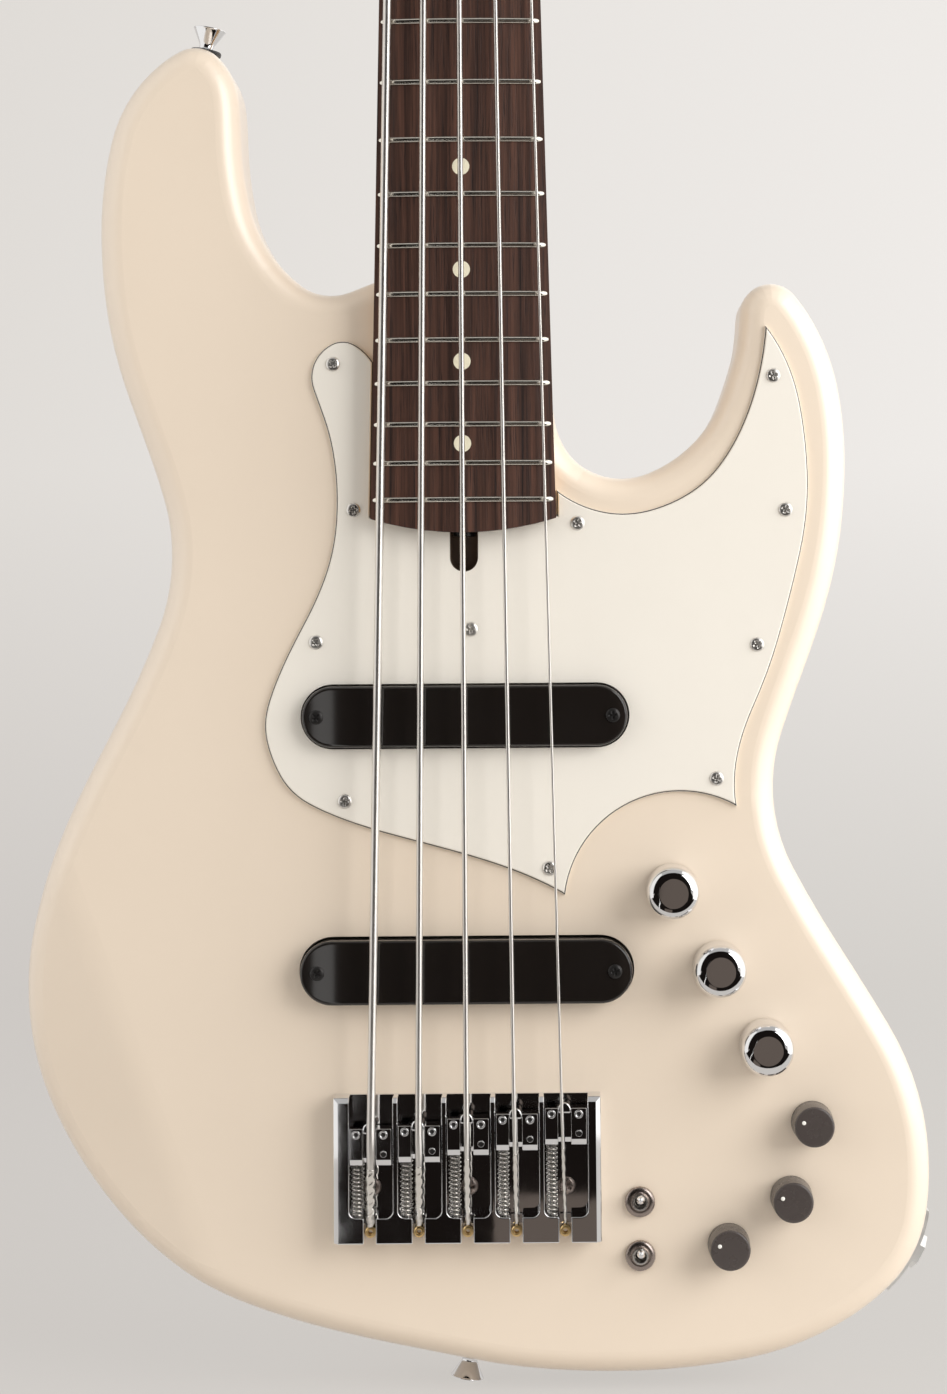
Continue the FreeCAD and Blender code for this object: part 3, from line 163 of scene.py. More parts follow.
# %% Floor and backdrop
floor_level = cad_low.z
sweep_half, sweep_front, bend_start, bend_radius, sweep_top = 3.5, -3.0, 1.0, 0.9, 3.6
sweep_profile = [(sweep_front, 0.0), (bend_start, 0.0)]
for step in range(1, 13):
    turn = step * math.pi / 24
    sweep_profile.append((bend_start + bend_radius * math.sin(turn), bend_radius - bend_radius * math.cos(turn)))
sweep_profile.append((bend_start + bend_radius, sweep_top))
sweep_verts = [(side * sweep_half, y, floor_level + z) for y, z in sweep_profile for side in (-1, 1)]
sweep_faces = [(2 * i, 2 * i + 1, 2 * i + 3, 2 * i + 2) for i in range(len(sweep_profile) - 1)]
sweep_mesh = bpy.data.meshes.new("paper_sweep")
sweep_mesh.from_pydata(sweep_verts, [], sweep_faces)
sweep_mesh.shade_smooth()
sweep = bpy.data.objects.new("paper_sweep", sweep_mesh)
scene.collection.objects.link(sweep)
print("paper sweep at floor level", round(floor_level, 4))

# %% [markdown]
# The paper takes the shadow of the bass. It grows paler towards the top and the right, as in the photograph,
# and most of that paleness is added for camera and mirror rays only, so a bright backdrop doesn't throw extra
# light on the bass. Its back is clear, so the bass can be seen from behind too.

# %% Backdrop paper
paper = start_finish("backdrop_paper", paint(208, 204, 200), 0.9)
tree = paper.node_tree
place = add_node(tree, "TexCoord")
split = add_node(tree, "SeparateXYZ")
# painted light: the paler top and right and the darker floor and left paint how the lamps' light falls on the paper
fade_across = add_node(tree, "MapRange", From_Min=-0.8, From_Max=0.8)
fade_up = add_node(tree, "MapRange", From_Min=0.0, From_Max=0.45)
low_tone = add_node(tree, "Mix", {mix_a: paint(205, 200, 196), mix_b: paint(219, 216, 211)}, data_type="RGBA")
high_tone = add_node(tree, "Mix", {mix_a: paint(225, 221, 216), mix_b: paint(249, 246, 243)}, data_type="RGBA")
painted_light_tone = add_node(tree, "Mix", data_type="RGBA")
glow = add_node(tree, "Emission", Strength=1.0)
rays = add_node(tree, "LightPath")
seen = add_node(tree, "Math", operation="MAXIMUM")
share = add_node(tree, "Math", {1: 0.84}, operation="MULTIPLY")
lit = add_node(tree, "MixShader")
sides = add_node(tree, "NewGeometry")
clear = add_node(tree, "BsdfTransparent")
one_sided = add_node(tree, "MixShader")
wire(
    tree, (place, "Object", split, "Vector"), (split, "X", fade_across, "Value"), (split, "Z", fade_up, "Value"),
    (fade_across, "Result", low_tone, 0), (fade_across, "Result", high_tone, 0), (fade_up, "Result", painted_light_tone, 0),
    (low_tone, mixed, painted_light_tone, mix_a), (high_tone, mixed, painted_light_tone, mix_b), (painted_light_tone, mixed, glow, "Color"),
    (rays, "Is Camera Ray", seen, 0), (rays, "Is Glossy Ray", seen, 1), (seen, 0, share, 0), (share, 0, lit, "Fac"),
    (shader_of(paper), "BSDF", lit, 1), (glow, "Emission", lit, 2), (sides, "Backfacing", one_sided, "Fac"),
    (lit, "Shader", one_sided, 1), (clear, "BSDF", one_sided, 2),
    (one_sided, "Shader", tree.nodes["Material Output"], "Surface"),
)
sweep_mesh.materials.append(paper)
print(len(tree.nodes), "nodes in the paper")

# %% [markdown]
# The light is a large soft box high on the right, with softer ones straight to the right and left that wrap
# round the body's edges, a weak one behind, and an even sky. Mirror rays don't see the left box, so the metal
# stays dark there.


# %% Lamps and sky
def soft_box(name, place, target, width, height, power):
    lamp = bpy.data.lights.new(name, "AREA")
    lamp.shape = "RECTANGLE"
    lamp.size = width
    lamp.size_y = height
    lamp.energy = power
    box = bpy.data.objects.new(name, lamp)
    box.location = place
    box.rotation_mode = "QUATERNION"
    box.rotation_quaternion = (Vector(target) - Vector(place)).to_track_quat("-Z", "Y")
    scene.collection.objects.link(box)
    return box


soft_box("key_soft_box", (1.55, -1.05, 0.95), (0.0, 0.0, 0.30), 1.5, 1.5, 33)
soft_box("right_soft_box", (1.75, -0.15, 0.5), (0.0, 0.0, 0.30), 0.9, 1.7, 13)
left_box = soft_box("left_soft_box", (-1.9, -0.6, 0.85), (0.0, 0.0, 0.35), 2.0, 1.9, 14)
left_box.visible_glossy = False
soft_box("back_soft_box", (0.5, 1.5, 1.5), (0.0, 0.0, 0.5), 1.2, 1.2, 2)

sky = bpy.data.worlds.new("studio_sky")
scene.world = sky
sky.use_nodes = True
sky_light = sky.node_tree.nodes["Background"]
sky_light.inputs["Color"].default_value = (1.0, 0.985, 0.965, 1)
sky_light.inputs["Strength"].default_value = 0.53
scene.view_settings.view_transform = "Standard"
print("four soft boxes and a pale sky")

# %% [markdown]
# Polished metal shows whatever stands in front of it. In the photograph that is a dark studio: black where
# the camera stands, two charcoal patches that lie in the knob tops and in the tail of the bridge, and one
# narrow gap of daylight on the left, which draws the grey streak on the pickups. Photographers hang black
# cloth for this, so sheets hang in front, overhead and on the floor. Two white cards stand close on the left
# and right and put a light line on every edge. Only mirror rays see cloths and cards, so they change nothing
# about the light that falls on the bass.

# %% Dark cloths
near, far, ceiling, wing = -0.24, -2.3, 1.75, -1.35
eye_across, eye_back = 0.038, 1.09
charcoal, black, white = paint(103, 93, 86), paint(24, 20, 18), paint(255, 253, 250)


def hang_cloth(name, corners, shade, strength):
    mesh = bpy.data.meshes.new(name)
    mesh.from_pydata(corners, [], [tuple(range(len(corners)))])
    cloth = bpy.data.objects.new(name, mesh)
    scene.collection.objects.link(cloth)
    cloth.visible_camera = False
    cloth.visible_diffuse = False
    cloth.visible_shadow = False
    cloth.visible_transmission = False
    # each cloth and card glows with its own colour for mirror rays only, so what the metal shows of it is a painted
    # reflection
    glowing = {"Emission_Color": shade, "Emission_Strength": strength}
    mesh.materials.append(start_finish(name, (0, 0, 0, 1), 0.9, Specular_IOR_Level=0.0, **glowing))


def seen_at(slope, depth, lift):
    return eye_across + slope * (eye_back - depth), depth + lift, floor_level + lift


def lie(left, right, start, stop, lift):
    corners = ((left, start), (right, start), (right, stop), (left, stop))
    return [seen_at(slope, depth, lift) for slope, depth in corners]


def hang_pair(name, left, right, start, shade, strength, lift, top):
    floor = lie(left, right, start, far, lift)
    low_left, low_right = floor[3], floor[2]
    high = [(low_right[0], low_right[1], top), (low_left[0], low_left[1], top)]
    hang_cloth(name + "_floor", floor, shade, strength)
    hang_cloth(name + "_wall", [low_left, low_right] + high, shade, strength)


def upright(across, start, stop, top):
    low = [(across, start, floor_level), (across, stop, floor_level)]
    return low + [(across, stop, top), (across, start, top)]


hang_pair("black_cloth", -0.42, 0.42, near, black, 1.0, 0.002, ceiling)
hang_pair("daylight_gap", -0.0875, -0.080, near, white, 1.6, 0.004, 0.3)
hang_pair("knob_patch", 0.02, 0.17, -0.7, charcoal, 1.0, 0.004, 0.3)
hang_cloth("tail_patch", lie(-0.0247, 0.03, near, -0.4, 0.004), charcoal, 1.0)
hang_cloth("left_cloth", upright(wing, -1.1, far, ceiling), black, 1.0)
overhead = [(wing, -1.2, ceiling), (1.4, -1.2, ceiling), (1.4, far, ceiling), (wing, far, ceiling)]
hang_cloth("overhead_cloth", overhead, black, 1.0)
hang_cloth("left_card", upright(-0.55, -0.6, 0.25, 1.2), white, 1.0)
hang_cloth("right_card", upright(0.6, -0.5, 0.25, 1.2), white, 1.4)
print("dark cloths from", near, "to", far, "m in front of the bass")

# %% [markdown]
# Some effects show up on many finishes: the faint unevenness that polishing leaves, the slight drift of a
# colour over a surface, the figure of wood, and the fine rings of a winding or a thread. Each is built once
# as a node group with named inputs, and every material that needs it sets its own values. A group only gives
# colours and values; the shader stays in the material. Polish and drift come first: both are soft clouds of
# noise.


# %% Shared polish and drift
def start_group(name, inputs, outputs):
    group = bpy.data.node_groups.new(name, "ShaderNodeTree")
    for label, value in inputs.items():
        kind = "NodeSocketFloat" if isinstance(value, float) else "NodeSocketColor"
        group.interface.new_socket(name=label, in_out="INPUT", socket_type=kind).default_value = value
    for label in outputs:
        kind = "NodeSocketColor" if label == "Color" else "NodeSocketFloat"
        group.interface.new_socket(name=label, in_out="OUTPUT", socket_type=kind)
    return group, group.nodes.new("NodeGroupInput"), group.nodes.new("NodeGroupOutput")


polish_marks, enter, leave = start_group(
    "polish_marks", {"Size": 30.0, "Smooth": 0.05, "Dull": 0.1}, ["Roughness", "Height"]
)
place = add_node(polish_marks, "TexCoord")
cloud = add_node(polish_marks, "TexNoise", Detail=4.0, Roughness=0.6)
spread = add_node(polish_marks, "MapRange", From_Min=0.35, From_Max=0.65)
grit_size = add_node(polish_marks, "Math", {1: 14.0}, operation="MULTIPLY")
grit = add_node(polish_marks, "TexNoise", Detail=2.0)
wire(
    polish_marks, (place, "Object", cloud, "Vector"), (place, "Object", grit, "Vector"),
    (enter, "Size", cloud, "Scale"), (enter, "Size", grit_size, 0), (grit_size, 0, grit, "Scale"),
    (cloud, "Fac", spread, "Value"), (enter, "Smooth", spread, "To Min"), (enter, "Dull", spread, "To Max"),
    (spread, "Result", leave, "Roughness"), (grit, "Fac", leave, "Height"),
)

tone_drift, enter, leave = start_group(
    "tone_drift", {"Color": (0.8, 0.8, 0.8, 1), "Size": 10.0, "Drift": 0.03}, ["Color"]
)
place = add_node(tone_drift, "TexCoord")
cloud = add_node(tone_drift, "TexNoise", Detail=3.0)
centred = add_node(tone_drift, "MapRange", From_Min=0.25, From_Max=0.75, To_Min=-1.0, To_Max=1.0)
share = add_node(tone_drift, "Math", {2: 1.0}, operation="MULTIPLY_ADD")
tinted = add_node(tone_drift, "VectorMath", operation="SCALE")
wire(
    tone_drift, (place, "Object", cloud, "Vector"), (enter, "Size", cloud, "Scale"),
    (cloud, "Fac", centred, "Value"), (centred, "Result", share, 0), (enter, "Drift", share, 1),
    (enter, "Color", tinted, 0), (share, 0, tinted, "Scale"), (tinted, "Vector", leave, "Color"),
)
print("groups:", [group.name for group in bpy.data.node_groups])

# %% [markdown]
# Wood figure is noise stretched along the grain, with darker pores from a finer noise on top. The rings of a
# winding or a thread are a wave that runs along the height of the bass.

# %% Shared wood and rings
wood_figure, enter, leave = start_group(
    "wood_figure",
    {"Dark": (0.1, 0.05, 0.03, 1), "Light": (0.3, 0.2, 0.1, 1), "Fineness": 120.0, "Stretch": 4.0, "Pores": 0.5},
    ["Color", "Height"],
)
place = add_node(wood_figure, "TexCoord")
stretch = add_node(wood_figure, "CombineXYZ")
run = add_node(wood_figure, "VectorMath", operation="MULTIPLY")
bands = add_node(wood_figure, "TexNoise", Scale=1.0, Detail=6.0, Roughness=0.62, Distortion=0.4)
band_range = add_node(wood_figure, "MapRange", From_Min=0.3, From_Max=0.7)
tone = add_node(wood_figure, "Mix", data_type="RGBA")
pore_run = add_node(wood_figure, "VectorMath", operation="SCALE", Scale=6.0)
pores = add_node(wood_figure, "TexNoise", Scale=1.0, Detail=2.0)
pore_range = add_node(wood_figure, "MapRange", From_Min=0.56, From_Max=0.66)
pore_share = add_node(wood_figure, "Math", operation="MULTIPLY")
pore_tone = add_node(wood_figure, "Mix", data_type="RGBA")
depth = add_node(wood_figure, "Math", {0: 1.0}, operation="SUBTRACT")
wire(
    wood_figure, (enter, "Fineness", stretch, "X"), (enter, "Fineness", stretch, "Y"),
    (enter, "Stretch", stretch, "Z"), (place, "Object", run, 0), (stretch, "Vector", run, 1),
    (run, "Vector", bands, "Vector"), (bands, "Fac", band_range, "Value"), (band_range, "Result", tone, 0),
    (enter, "Dark", tone, mix_a), (enter, "Light", tone, mix_b), (run, "Vector", pore_run, 0),
    (pore_run, "Vector", pores, "Vector"), (pores, "Fac", pore_range, "Value"),
    (pore_range, "Result", pore_share, 0), (enter, "Pores", pore_share, 1), (pore_share, 0, pore_tone, 0),
    (tone, mixed, pore_tone, mix_a), (enter, "Dark", pore_tone, mix_b), (pore_share, 0, depth, 1),
    (pore_tone, mixed, leave, "Color"), (depth, 0, leave, "Height"),
)

fine_rings, enter, leave = start_group("fine_rings", {"Rings per metre": 2000.0}, ["Height"])
place = add_node(fine_rings, "TexCoord")
split = add_node(fine_rings, "SeparateXYZ")
count = add_node(fine_rings, "Math", operation="MULTIPLY")
turn = add_node(fine_rings, "Math", {1: 2 * math.pi}, operation="MULTIPLY")
wave = add_node(fine_rings, "Math", operation="SINE")
wire(
    fine_rings, (place, "Object", split, "Vector"), (split, "Z", count, 0), (enter, "Rings per metre", count, 1),
    (count, 0, turn, 0), (turn, 0, wave, 0), (wave, 0, leave, "Height"),
)
print("groups:", [group.name for group in bpy.data.node_groups])

# %% [markdown]
# Every finish starts from a plain shader and takes what it needs from the groups. The unevenness drives the
# roughness, so highlights break up a little as they do on real lacquer and metal, and a very small bump keeps
# large flat areas from looking like glass.


# %% Helpers for finishes
def place_group(material, group, **values):
    return add_node(material.node_tree, "Group", node_tree=group, **values)


def add_bump(material, source, distance):
    bump = add_node(material.node_tree, "Bump", Strength=1.0, Distance=distance)
    wire(material.node_tree, (source, "Height", bump, "Height"), (bump, "Normal", shader_of(material), "Normal"))


def polished(name, colour, smooth, dull, size, bump=0.0, metallic=0.0, drift=0.03, **plain):
    material = start_finish(name, colour, smooth, metallic, **plain)
    tint = place_group(material, tone_drift, Color=colour, Size=size / 2, Drift=drift)
    marks = place_group(material, polish_marks, Size=size, Smooth=smooth, Dull=dull)
    shader = shader_of(material)
    wire(material.node_tree, (tint, "Color", shader, "Base Color"), (marks, "Roughness", shader, "Roughness"))
    if bump:
        add_bump(material, marks, bump)
    return material


def metal(name, colour, smooth, dull, size, **plain):
    return polished(name, colour, smooth, dull, size, metallic=1.0, **plain)


def wooden(name, dark, light, fineness, stretch, pores, roughness, bump, **plain):
    material = start_finish(name, light, roughness, **plain)
    grain = {"Fineness": fineness, "Stretch": stretch, "Pores": pores}
    figure = place_group(material, wood_figure, Dark=dark, Light=light, **grain)
    wire(material.node_tree, (figure, "Color", shader_of(material), "Base Color"))
    add_bump(material, figure, bump)
    return material


def add_rings(material, rings_per_metre, depth):
    add_bump(material, place_group(material, fine_rings, Rings_per_metre=rings_per_metre), depth)


print("kinds of finish: polished, metal, wooden")

# %% [markdown]
# Each finish is one line: its colour, its roughness where it's smooth and where it's dull, the fineness of
# the marks and the depth of the bump in metres. The strings also stretch their highlight round the winding.

# %% Finishes
cream_lacquer = polished(
    "cream_lacquer", paint(237, 220, 199), 0.38, 0.46, 14.0, 0.000004, drift=0.012, Coat_Weight=1.0,
    Coat_Roughness=0.34, Coat_IOR=1.65,
)
white_laminate = polished(
    "white_laminate", paint(239, 233, 222), 0.28, 0.36, 25.0, 0.000004, drift=0.01, Coat_Weight=0.4,
    Coat_Roughness=0.12,
)
rosewood = wooden(
    "rosewood", paint(34, 18, 13), paint(98, 64, 50), 420.0, 9.0, 0.75, 0.5, 0.00004, Specular_IOR_Level=0.35
)
maple = wooden(
    "maple", paint(196, 152, 96), paint(226, 190, 138), 160.0, 6.0, 0.15, 0.34, 0.000006, Coat_Weight=0.5,
    Coat_Roughness=0.15,
)
chrome = metal("chrome", (0.80, 0.80, 0.81, 1), 0.035, 0.075, 60.0)
nickel = metal("nickel", (0.80, 0.77, 0.73, 1), 0.24, 0.34, 90.0)
satin_nickel = metal("satin_nickel", (0.86, 0.85, 0.83, 1), 0.34, 0.44, 90.0)
fret_nickel = metal("fret_nickel", (0.82, 0.78, 0.70, 1), 0.18, 0.26, 90.0)
spring_steel = metal("spring_steel", (0.80, 0.77, 0.72, 1), 0.12, 0.22, 120.0)
brass = metal("brass", (0.74, 0.52, 0.24, 1), 0.22, 0.36, 90.0)
black_cover = polished(
    "black_cover", paint(25, 20, 17), 0.3, 0.4, 40.0, 0.000002, Specular_IOR_Level=0.15, Coat_Weight=1.0,
    Coat_Roughness=0.03,
)
black_knob = polished("black_knob", paint(74, 67, 64), 0.24, 0.3, 70.0, 0.000001)
# dark nickel for the toggle nuts, and painted shade on the bridge screws
dark_nickel_and_shade = metal("dark_nickel_and_shade", (0.36, 0.30, 0.27, 1), 0.22, 0.32, 90.0)
# black for the black screws and the truss rod, and painted shade on the floors of the screw wells and holes
black_screw_and_hole_shade = polished("black_screw_and_hole_shade", (0.035, 0.033, 0.032, 1), 0.3, 0.42, 90.0, metallic=0.7)
# a dark brown that paints the shade inside the truss slot
slot_shade_brown = polished("slot_shade_brown", paint(92, 74, 60), 0.5, 0.6, 60.0, 0.00001)
black_panel = polished("black_panel", paint(28, 27, 26), 0.45, 0.55, 60.0, 0.00001)
dot_white = polished("dot_white", paint(240, 238, 230), 0.4, 0.5, 60.0)
pearl = polished("pearl", paint(236, 228, 202), 0.25, 0.4, 300.0, 0.00001, Coat_Weight=0.4, Coat_Roughness=0.1)
bone = polished("bone", paint(232, 222, 196), 0.35, 0.5, 120.0, 0.00001)
coil_wire = polished("coil_wire", (0.42, 0.18, 0.09, 1), 0.3, 0.45, 90.0, 0.00003, metallic=0.9)
pickup_foam = polished("pickup_foam", paint(46, 46, 46), 0.85, 0.95, 200.0, 0.0004)
board_green = polished("board_green", paint(30, 84, 48), 0.35, 0.5, 90.0, 0.00002)
cell_jacket = polished("cell_jacket", paint(34, 34, 38), 0.35, 0.45, 60.0, 0.00001)
felt = polished("felt", paint(22, 21, 21), 0.9, 1.0, 220.0, 0.0006, Sheen_Weight=0.4)
wound_string = metal(
    "wound_string", (0.80, 0.77, 0.73, 1), 0.4, 0.46, 150.0, Anisotropic=0.8, Anisotropic_Rotation=0.25
)
around = add_node(wound_string.node_tree, "Tangent", direction_type="RADIAL", axis="Z")
wire(wound_string.node_tree, (around, "Tangent", shader_of(wound_string), "Tangent"))
add_rings(wound_string, 2600.0, 0.000004)
screw_thread = metal("screw_thread", (0.74, 0.72, 0.68, 1), 0.18, 0.28, 90.0)
add_rings(screw_thread, 2000.0, 0.0002)
print(len(bpy.data.materials), "finishes")

# %% [markdown]
# The guard is a sandwich of white, black and white sheet, and its bevelled rim cuts through all three, so the
# black layer shows as a thin line round the edge. The layers lie at fixed heights above the body, so the
# colour can simply follow the height of each point. No line has to be drawn, and it is right all round.

# %% Layers of the guard
black_layer, black_half = 1.72, 0.22
tree, shader = white_laminate.node_tree, shader_of(white_laminate)
tint = shader.inputs["Base Color"].links[0].from_node
place = add_node(tree, "TexCoord")
split = add_node(tree, "SeparateXYZ")
layer = {1: -(body_half_thickness + black_layer) * mm, 2: black_half * mm}
in_layer = add_node(tree, "Math", layer, operation="COMPARE")
sheet_tone = add_node(tree, "Mix", {mix_b: paint(58, 52, 48)}, data_type="RGBA")
wire(
    tree, (place, "Object", split, "Vector"), (split, "Y", in_layer, 0), (in_layer, 0, sheet_tone, 0),
    (tint, "Color", sheet_tone, mix_a), (sheet_tone, mixed, shader, "Base Color"),
)
print("black layer from", black_layer - black_half, "to", black_layer + black_half, "mm above the body")

# %% [markdown]
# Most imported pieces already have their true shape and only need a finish. Plates, tuners, nut and back cover
# also have softened edges on the real bass, and those thin bright lines are what makes metal read as metal. A
# weld joins the corners that come split, and a bevel modifier rounds the edges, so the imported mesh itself
# stays as it is.


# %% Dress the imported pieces
def dress(material, *names):
    for name in names:
        for slot in nodes[name].material_slots:
            slot.material = material


def soften(width, segments, *names):
    for name in names:
        weld = nodes[name].modifiers.new("joined corners", "WELD")
        weld.merge_threshold = 0.002 * mm
        bevel = nodes[name].modifiers.new("soft edges", "BEVEL")
        bevel.width = width * mm
        bevel.segments = segments
        bevel.limit_method = "ANGLE"
        bevel.angle_limit = math.radians(32)
        bevel.harden_normals = True


string_names = ["b", "e", "a", "d", "g"]
tuner_keys = ["tuner_key_" + name for name in string_names]
tuner_posts = ["tuner_post_" + name for name in string_names]
levels = ["upper", "middle", "lower"]
chrome_knobs = [level + "_chrome_knob" for level in levels]
black_knobs = [level + "_black_knob" for level in levels]
toggle_levers = ["upper_toggle_lever", "lower_toggle_lever"]

dress(cream_lacquer, "body")
dress(maple, "neck")
dress(rosewood, "fretboard")
dress(white_laminate, "guard")
dress(pearl, "position_markers")
dress(bone, "nut")
dress(chrome, "neck_plate")
dress(satin_nickel, "jack_plate", "output_jack")
dress(chrome, "tuner_housings", "tuner_bushings", *tuner_keys, *tuner_posts)
dress(nickel, "potentiometers", "switch_bodies")
dress(chrome, *toggle_levers)
dress(screw_thread, "intonation_screws")
dress(black_screw_and_hole_shade, "truss_rod")
dress(black_panel, "control_cover")
dress(coil_wire, "pickup_coils")
dress(board_green, "preamp_board")
dress(cell_jacket, "battery")
soften(0.25, 2, "neck_plate", "jack_plate")
soften(0.6, 3, *tuner_keys, "tuner_housings")
soften(0.3, 2, "nut", "control_cover")
print(sum(len(packed.modifiers) > 0 for packed in nodes.values()), "packed pieces with softened edges")

# %% [markdown]
# New pieces are built point by point. Four helpers cover nearly all of them: one makes a finished object from
# points and faces and lets it ride on a body, one turns a profile round an axis like a lathe, one closes a
# skin over rows of points, and one draws a tube along a path. The tube carries its cross section forward
# without twisting it, which keeps thin wire clean round bends.

# %% Helpers for new pieces
front, back = Vector((0, -1, 0)), Vector((0, 1, 0))


def make_piece(name, shape, material, body=None, stands_for=()):
    points, faces = shape
    mesh = bpy.data.meshes.new(name)
    mesh.from_pydata([tuple(p) for p in points], [], faces)
    mesh.update()
    mesh.shade_smooth()
    mesh.materials.append(material)
    piece = bpy.data.objects.new(name, mesh)
    scene.collection.objects.link(piece)
    if body:
        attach(piece, body)
    if stands_for:
        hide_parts(*stands_for)
    return piece


def join(shapes):
    points, faces = [], []
    for more_points, more_faces in shapes:
        start = len(points)
        points += more_points
        faces += [tuple(start + i for i in face) for face in more_faces]
    return points, faces


def sides_of(axis):
    side = axis.orthogonal().normalized()
    return side, axis.cross(side)


def lathe(profile, base, axis, steps=48):
    axis = Vector(axis).normalized()
    side, other = sides_of(axis)
    points, rings, faces = [], [], []
    for radius, height in profile:
        centre = base + axis * (height * mm)
        if radius == 0:
            rings.append([len(points)] * steps)
            points.append(centre)
            continue
        rings.append(list(range(len(points), len(points) + steps)))
        for i in range(steps):
            turn = 2 * math.pi * i / steps
            points.append(centre + (side * math.cos(turn) + other * math.sin(turn)) * (radius * mm))
    for low, high in zip(rings, rings[1:]):
        for i in range(steps):
            corners = [low[i], low[(i + 1) % steps], high[(i + 1) % steps], high[i]]
            face = [c for k, c in enumerate(corners) if c != corners[k - 1]]
            if len(face) > 2:
                faces.append(tuple(face))
    return points, faces


def skin(rows, columns, close_start=True):
    faces = []
    for start in range(0, (rows - 1) * columns, columns):
        for i in range(columns):
            j = (i + 1) % columns
            faces.append((start + i, start + j, start + columns + j, start + columns + i))
    if close_start:
        faces.append(tuple(reversed(range(columns))))
    faces.append(tuple(range((rows - 1) * columns, rows * columns)))
    return faces


def tube(path, radius, sides=12, swell=None):
    points, side = [], None
    for k, place in enumerate(path):
        ahead = (path[min(k + 1, len(path) - 1)] - path[max(k - 1, 0)]).normalized()
        side = sides_of(ahead)[0] if side is None else (side - ahead * side.dot(ahead)).normalized()
        other = ahead.cross(side)
        for i in range(sides):
            turn = 2 * math.pi * i / sides
            reach = radius * (swell(k, turn) if swell else 1) * mm
            points.append(place + (side * math.cos(turn) + other * math.sin(turn)) * reach)
    return points, skin(len(path), sides)


print("a test tube has", len(tube([spot(0, 0, 0), spot(0, 1, 0)], 1)[0]), "points")

# %% [markdown]
# Milled metal and moulded plastic have flat faces and softened edges, and the thin bright lines along those
# edges make them look real. A fourth helper stands an outline up as a block, mills flat chamfers along chosen
# edges and then rounds the other sharp ones. It starts from a clean outline, because rounding a mesh that is
# already cut into triangles gets stuck at the shortest one. Flat faces stay flat, since larger faces decide
# how the edges are shaded.


# %% Soft blocks
def soft_block(outline, bottom, top, soft, steps=3, chamfer=0.0, drop=0.0, milled=None):
    block = bmesh.new()
    low = [block.verts.new(spot(across, rise, bottom)) for across, rise in outline]
    high = [block.verts.new(spot(across, rise, top)) for across, rise in outline]
    block.faces.new(low)
    block.faces.new(high)
    cut = []
    for k, corner in enumerate(outline):
        after = (k + 1) % len(outline)
        block.faces.new((low[k], low[after], high[after], high[k]))
        if milled and milled(corner, outline[after]):
            cut.append(block.edges.get((high[k], high[after])))
    bmesh.ops.recalc_face_normals(block, faces=block.faces[:])
    bmesh.ops.bevel(block, geom=cut, offset=chamfer * mm, segments=1, affect="EDGES", clamp_overlap=False)
    for vert in block.verts:
        if abs(vert.co.y - spot(0, 0, top - chamfer).y) < 0.01 * mm:
            vert.co.y = spot(0, 0, top - drop).y
    block.normal_update()
    sharp = []
    for edge in block.edges:
        lowest = min(-face.normal.y for face in edge.link_faces)
        if -0.5 < lowest < 0.5 and edge.calc_face_angle() > math.radians(50):
            sharp.append(edge)
    bmesh.ops.bevel(
        block, geom=sharp, offset=soft * mm, segments=steps, profile=0.5, affect="EDGES", clamp_overlap=False
    )
    block.verts.index_update()
    points = [vert.co.copy() for vert in block.verts]
    faces = [tuple(vert.index for vert in face.verts) for face in block.faces]
    block.free()
    return points, faces


def keep_flats(piece):
    piece.data.set_sharp_from_angle(angle=math.radians(26))
    piece.modifiers.new("flat faces", "WEIGHTED_NORMAL").keep_sharp = True


print("a soft cube has", len(soft_block([(0, 0), (9, 0), (9, 9), (0, 9)], 0, 9, 1)[1]), "faces")

# %% [markdown]
# A string runs straight from its ball end to the saddle, breaks over it, runs straight to the nut and from
# there down to its post, where it winds round one and a half times. The path is worked out from the string
# spacing at bridge and nut, so the strings fan in as they do on the real neck. A taut string has no slack, so
# straight runs with short bends are right, and a tube keeps it round from every side.

# %% String paths
scale_end, scale_length, nut_rise = 96.5, 863.6, 960.1
bridge_spacing, spacing_loss = 18.55, 8.55
board_top, board_curve, string_lift, nut_lift = 11.0, 610, 5.3, 1.5
bridge_foot, string_foot, string_start, break_back, bend_leg = 49.2, 55.0, 6.2, 5.5, 4.0
post_radius, winding_top, winding_gap, winding_steps = 5.5, 11, 0.45, 36
string_diameters = [3.3, 2.67, 2.16, 1.65, 1.14]
saddle_noses = [95.5, 96.9, 99.6, 101.2, 103.0]
post_rises = [52.0, 92.0, 132.0, 172.0, 72.0]
post_sides = [-1, -1, -1, -1, 1]


def string_across(index, rise):
    return (index - 2) * (bridge_spacing - spacing_loss * (rise - scale_end) / scale_length)


def board_height(across):
    return board_top - across ** 2 / board_curve


def saddle_height(index):
    return board_height(string_across(index, scale_end)) + string_lift + string_diameters[index] / 2


def round_corners(route, leg, steps=6):
    path = [route[0]]
    for before, corner, after in zip(route, route[1:], route[2:]):
        arrive = corner + (before - corner).normalized() * leg * mm
        leave = corner + (after - corner).normalized() * leg * mm
        for i in range(steps + 1):
            t = i / steps
            path.append(arrive * (1 - t) ** 2 + corner * (2 * t * (1 - t)) + leave * t ** 2)
    return path + [route[-1]]


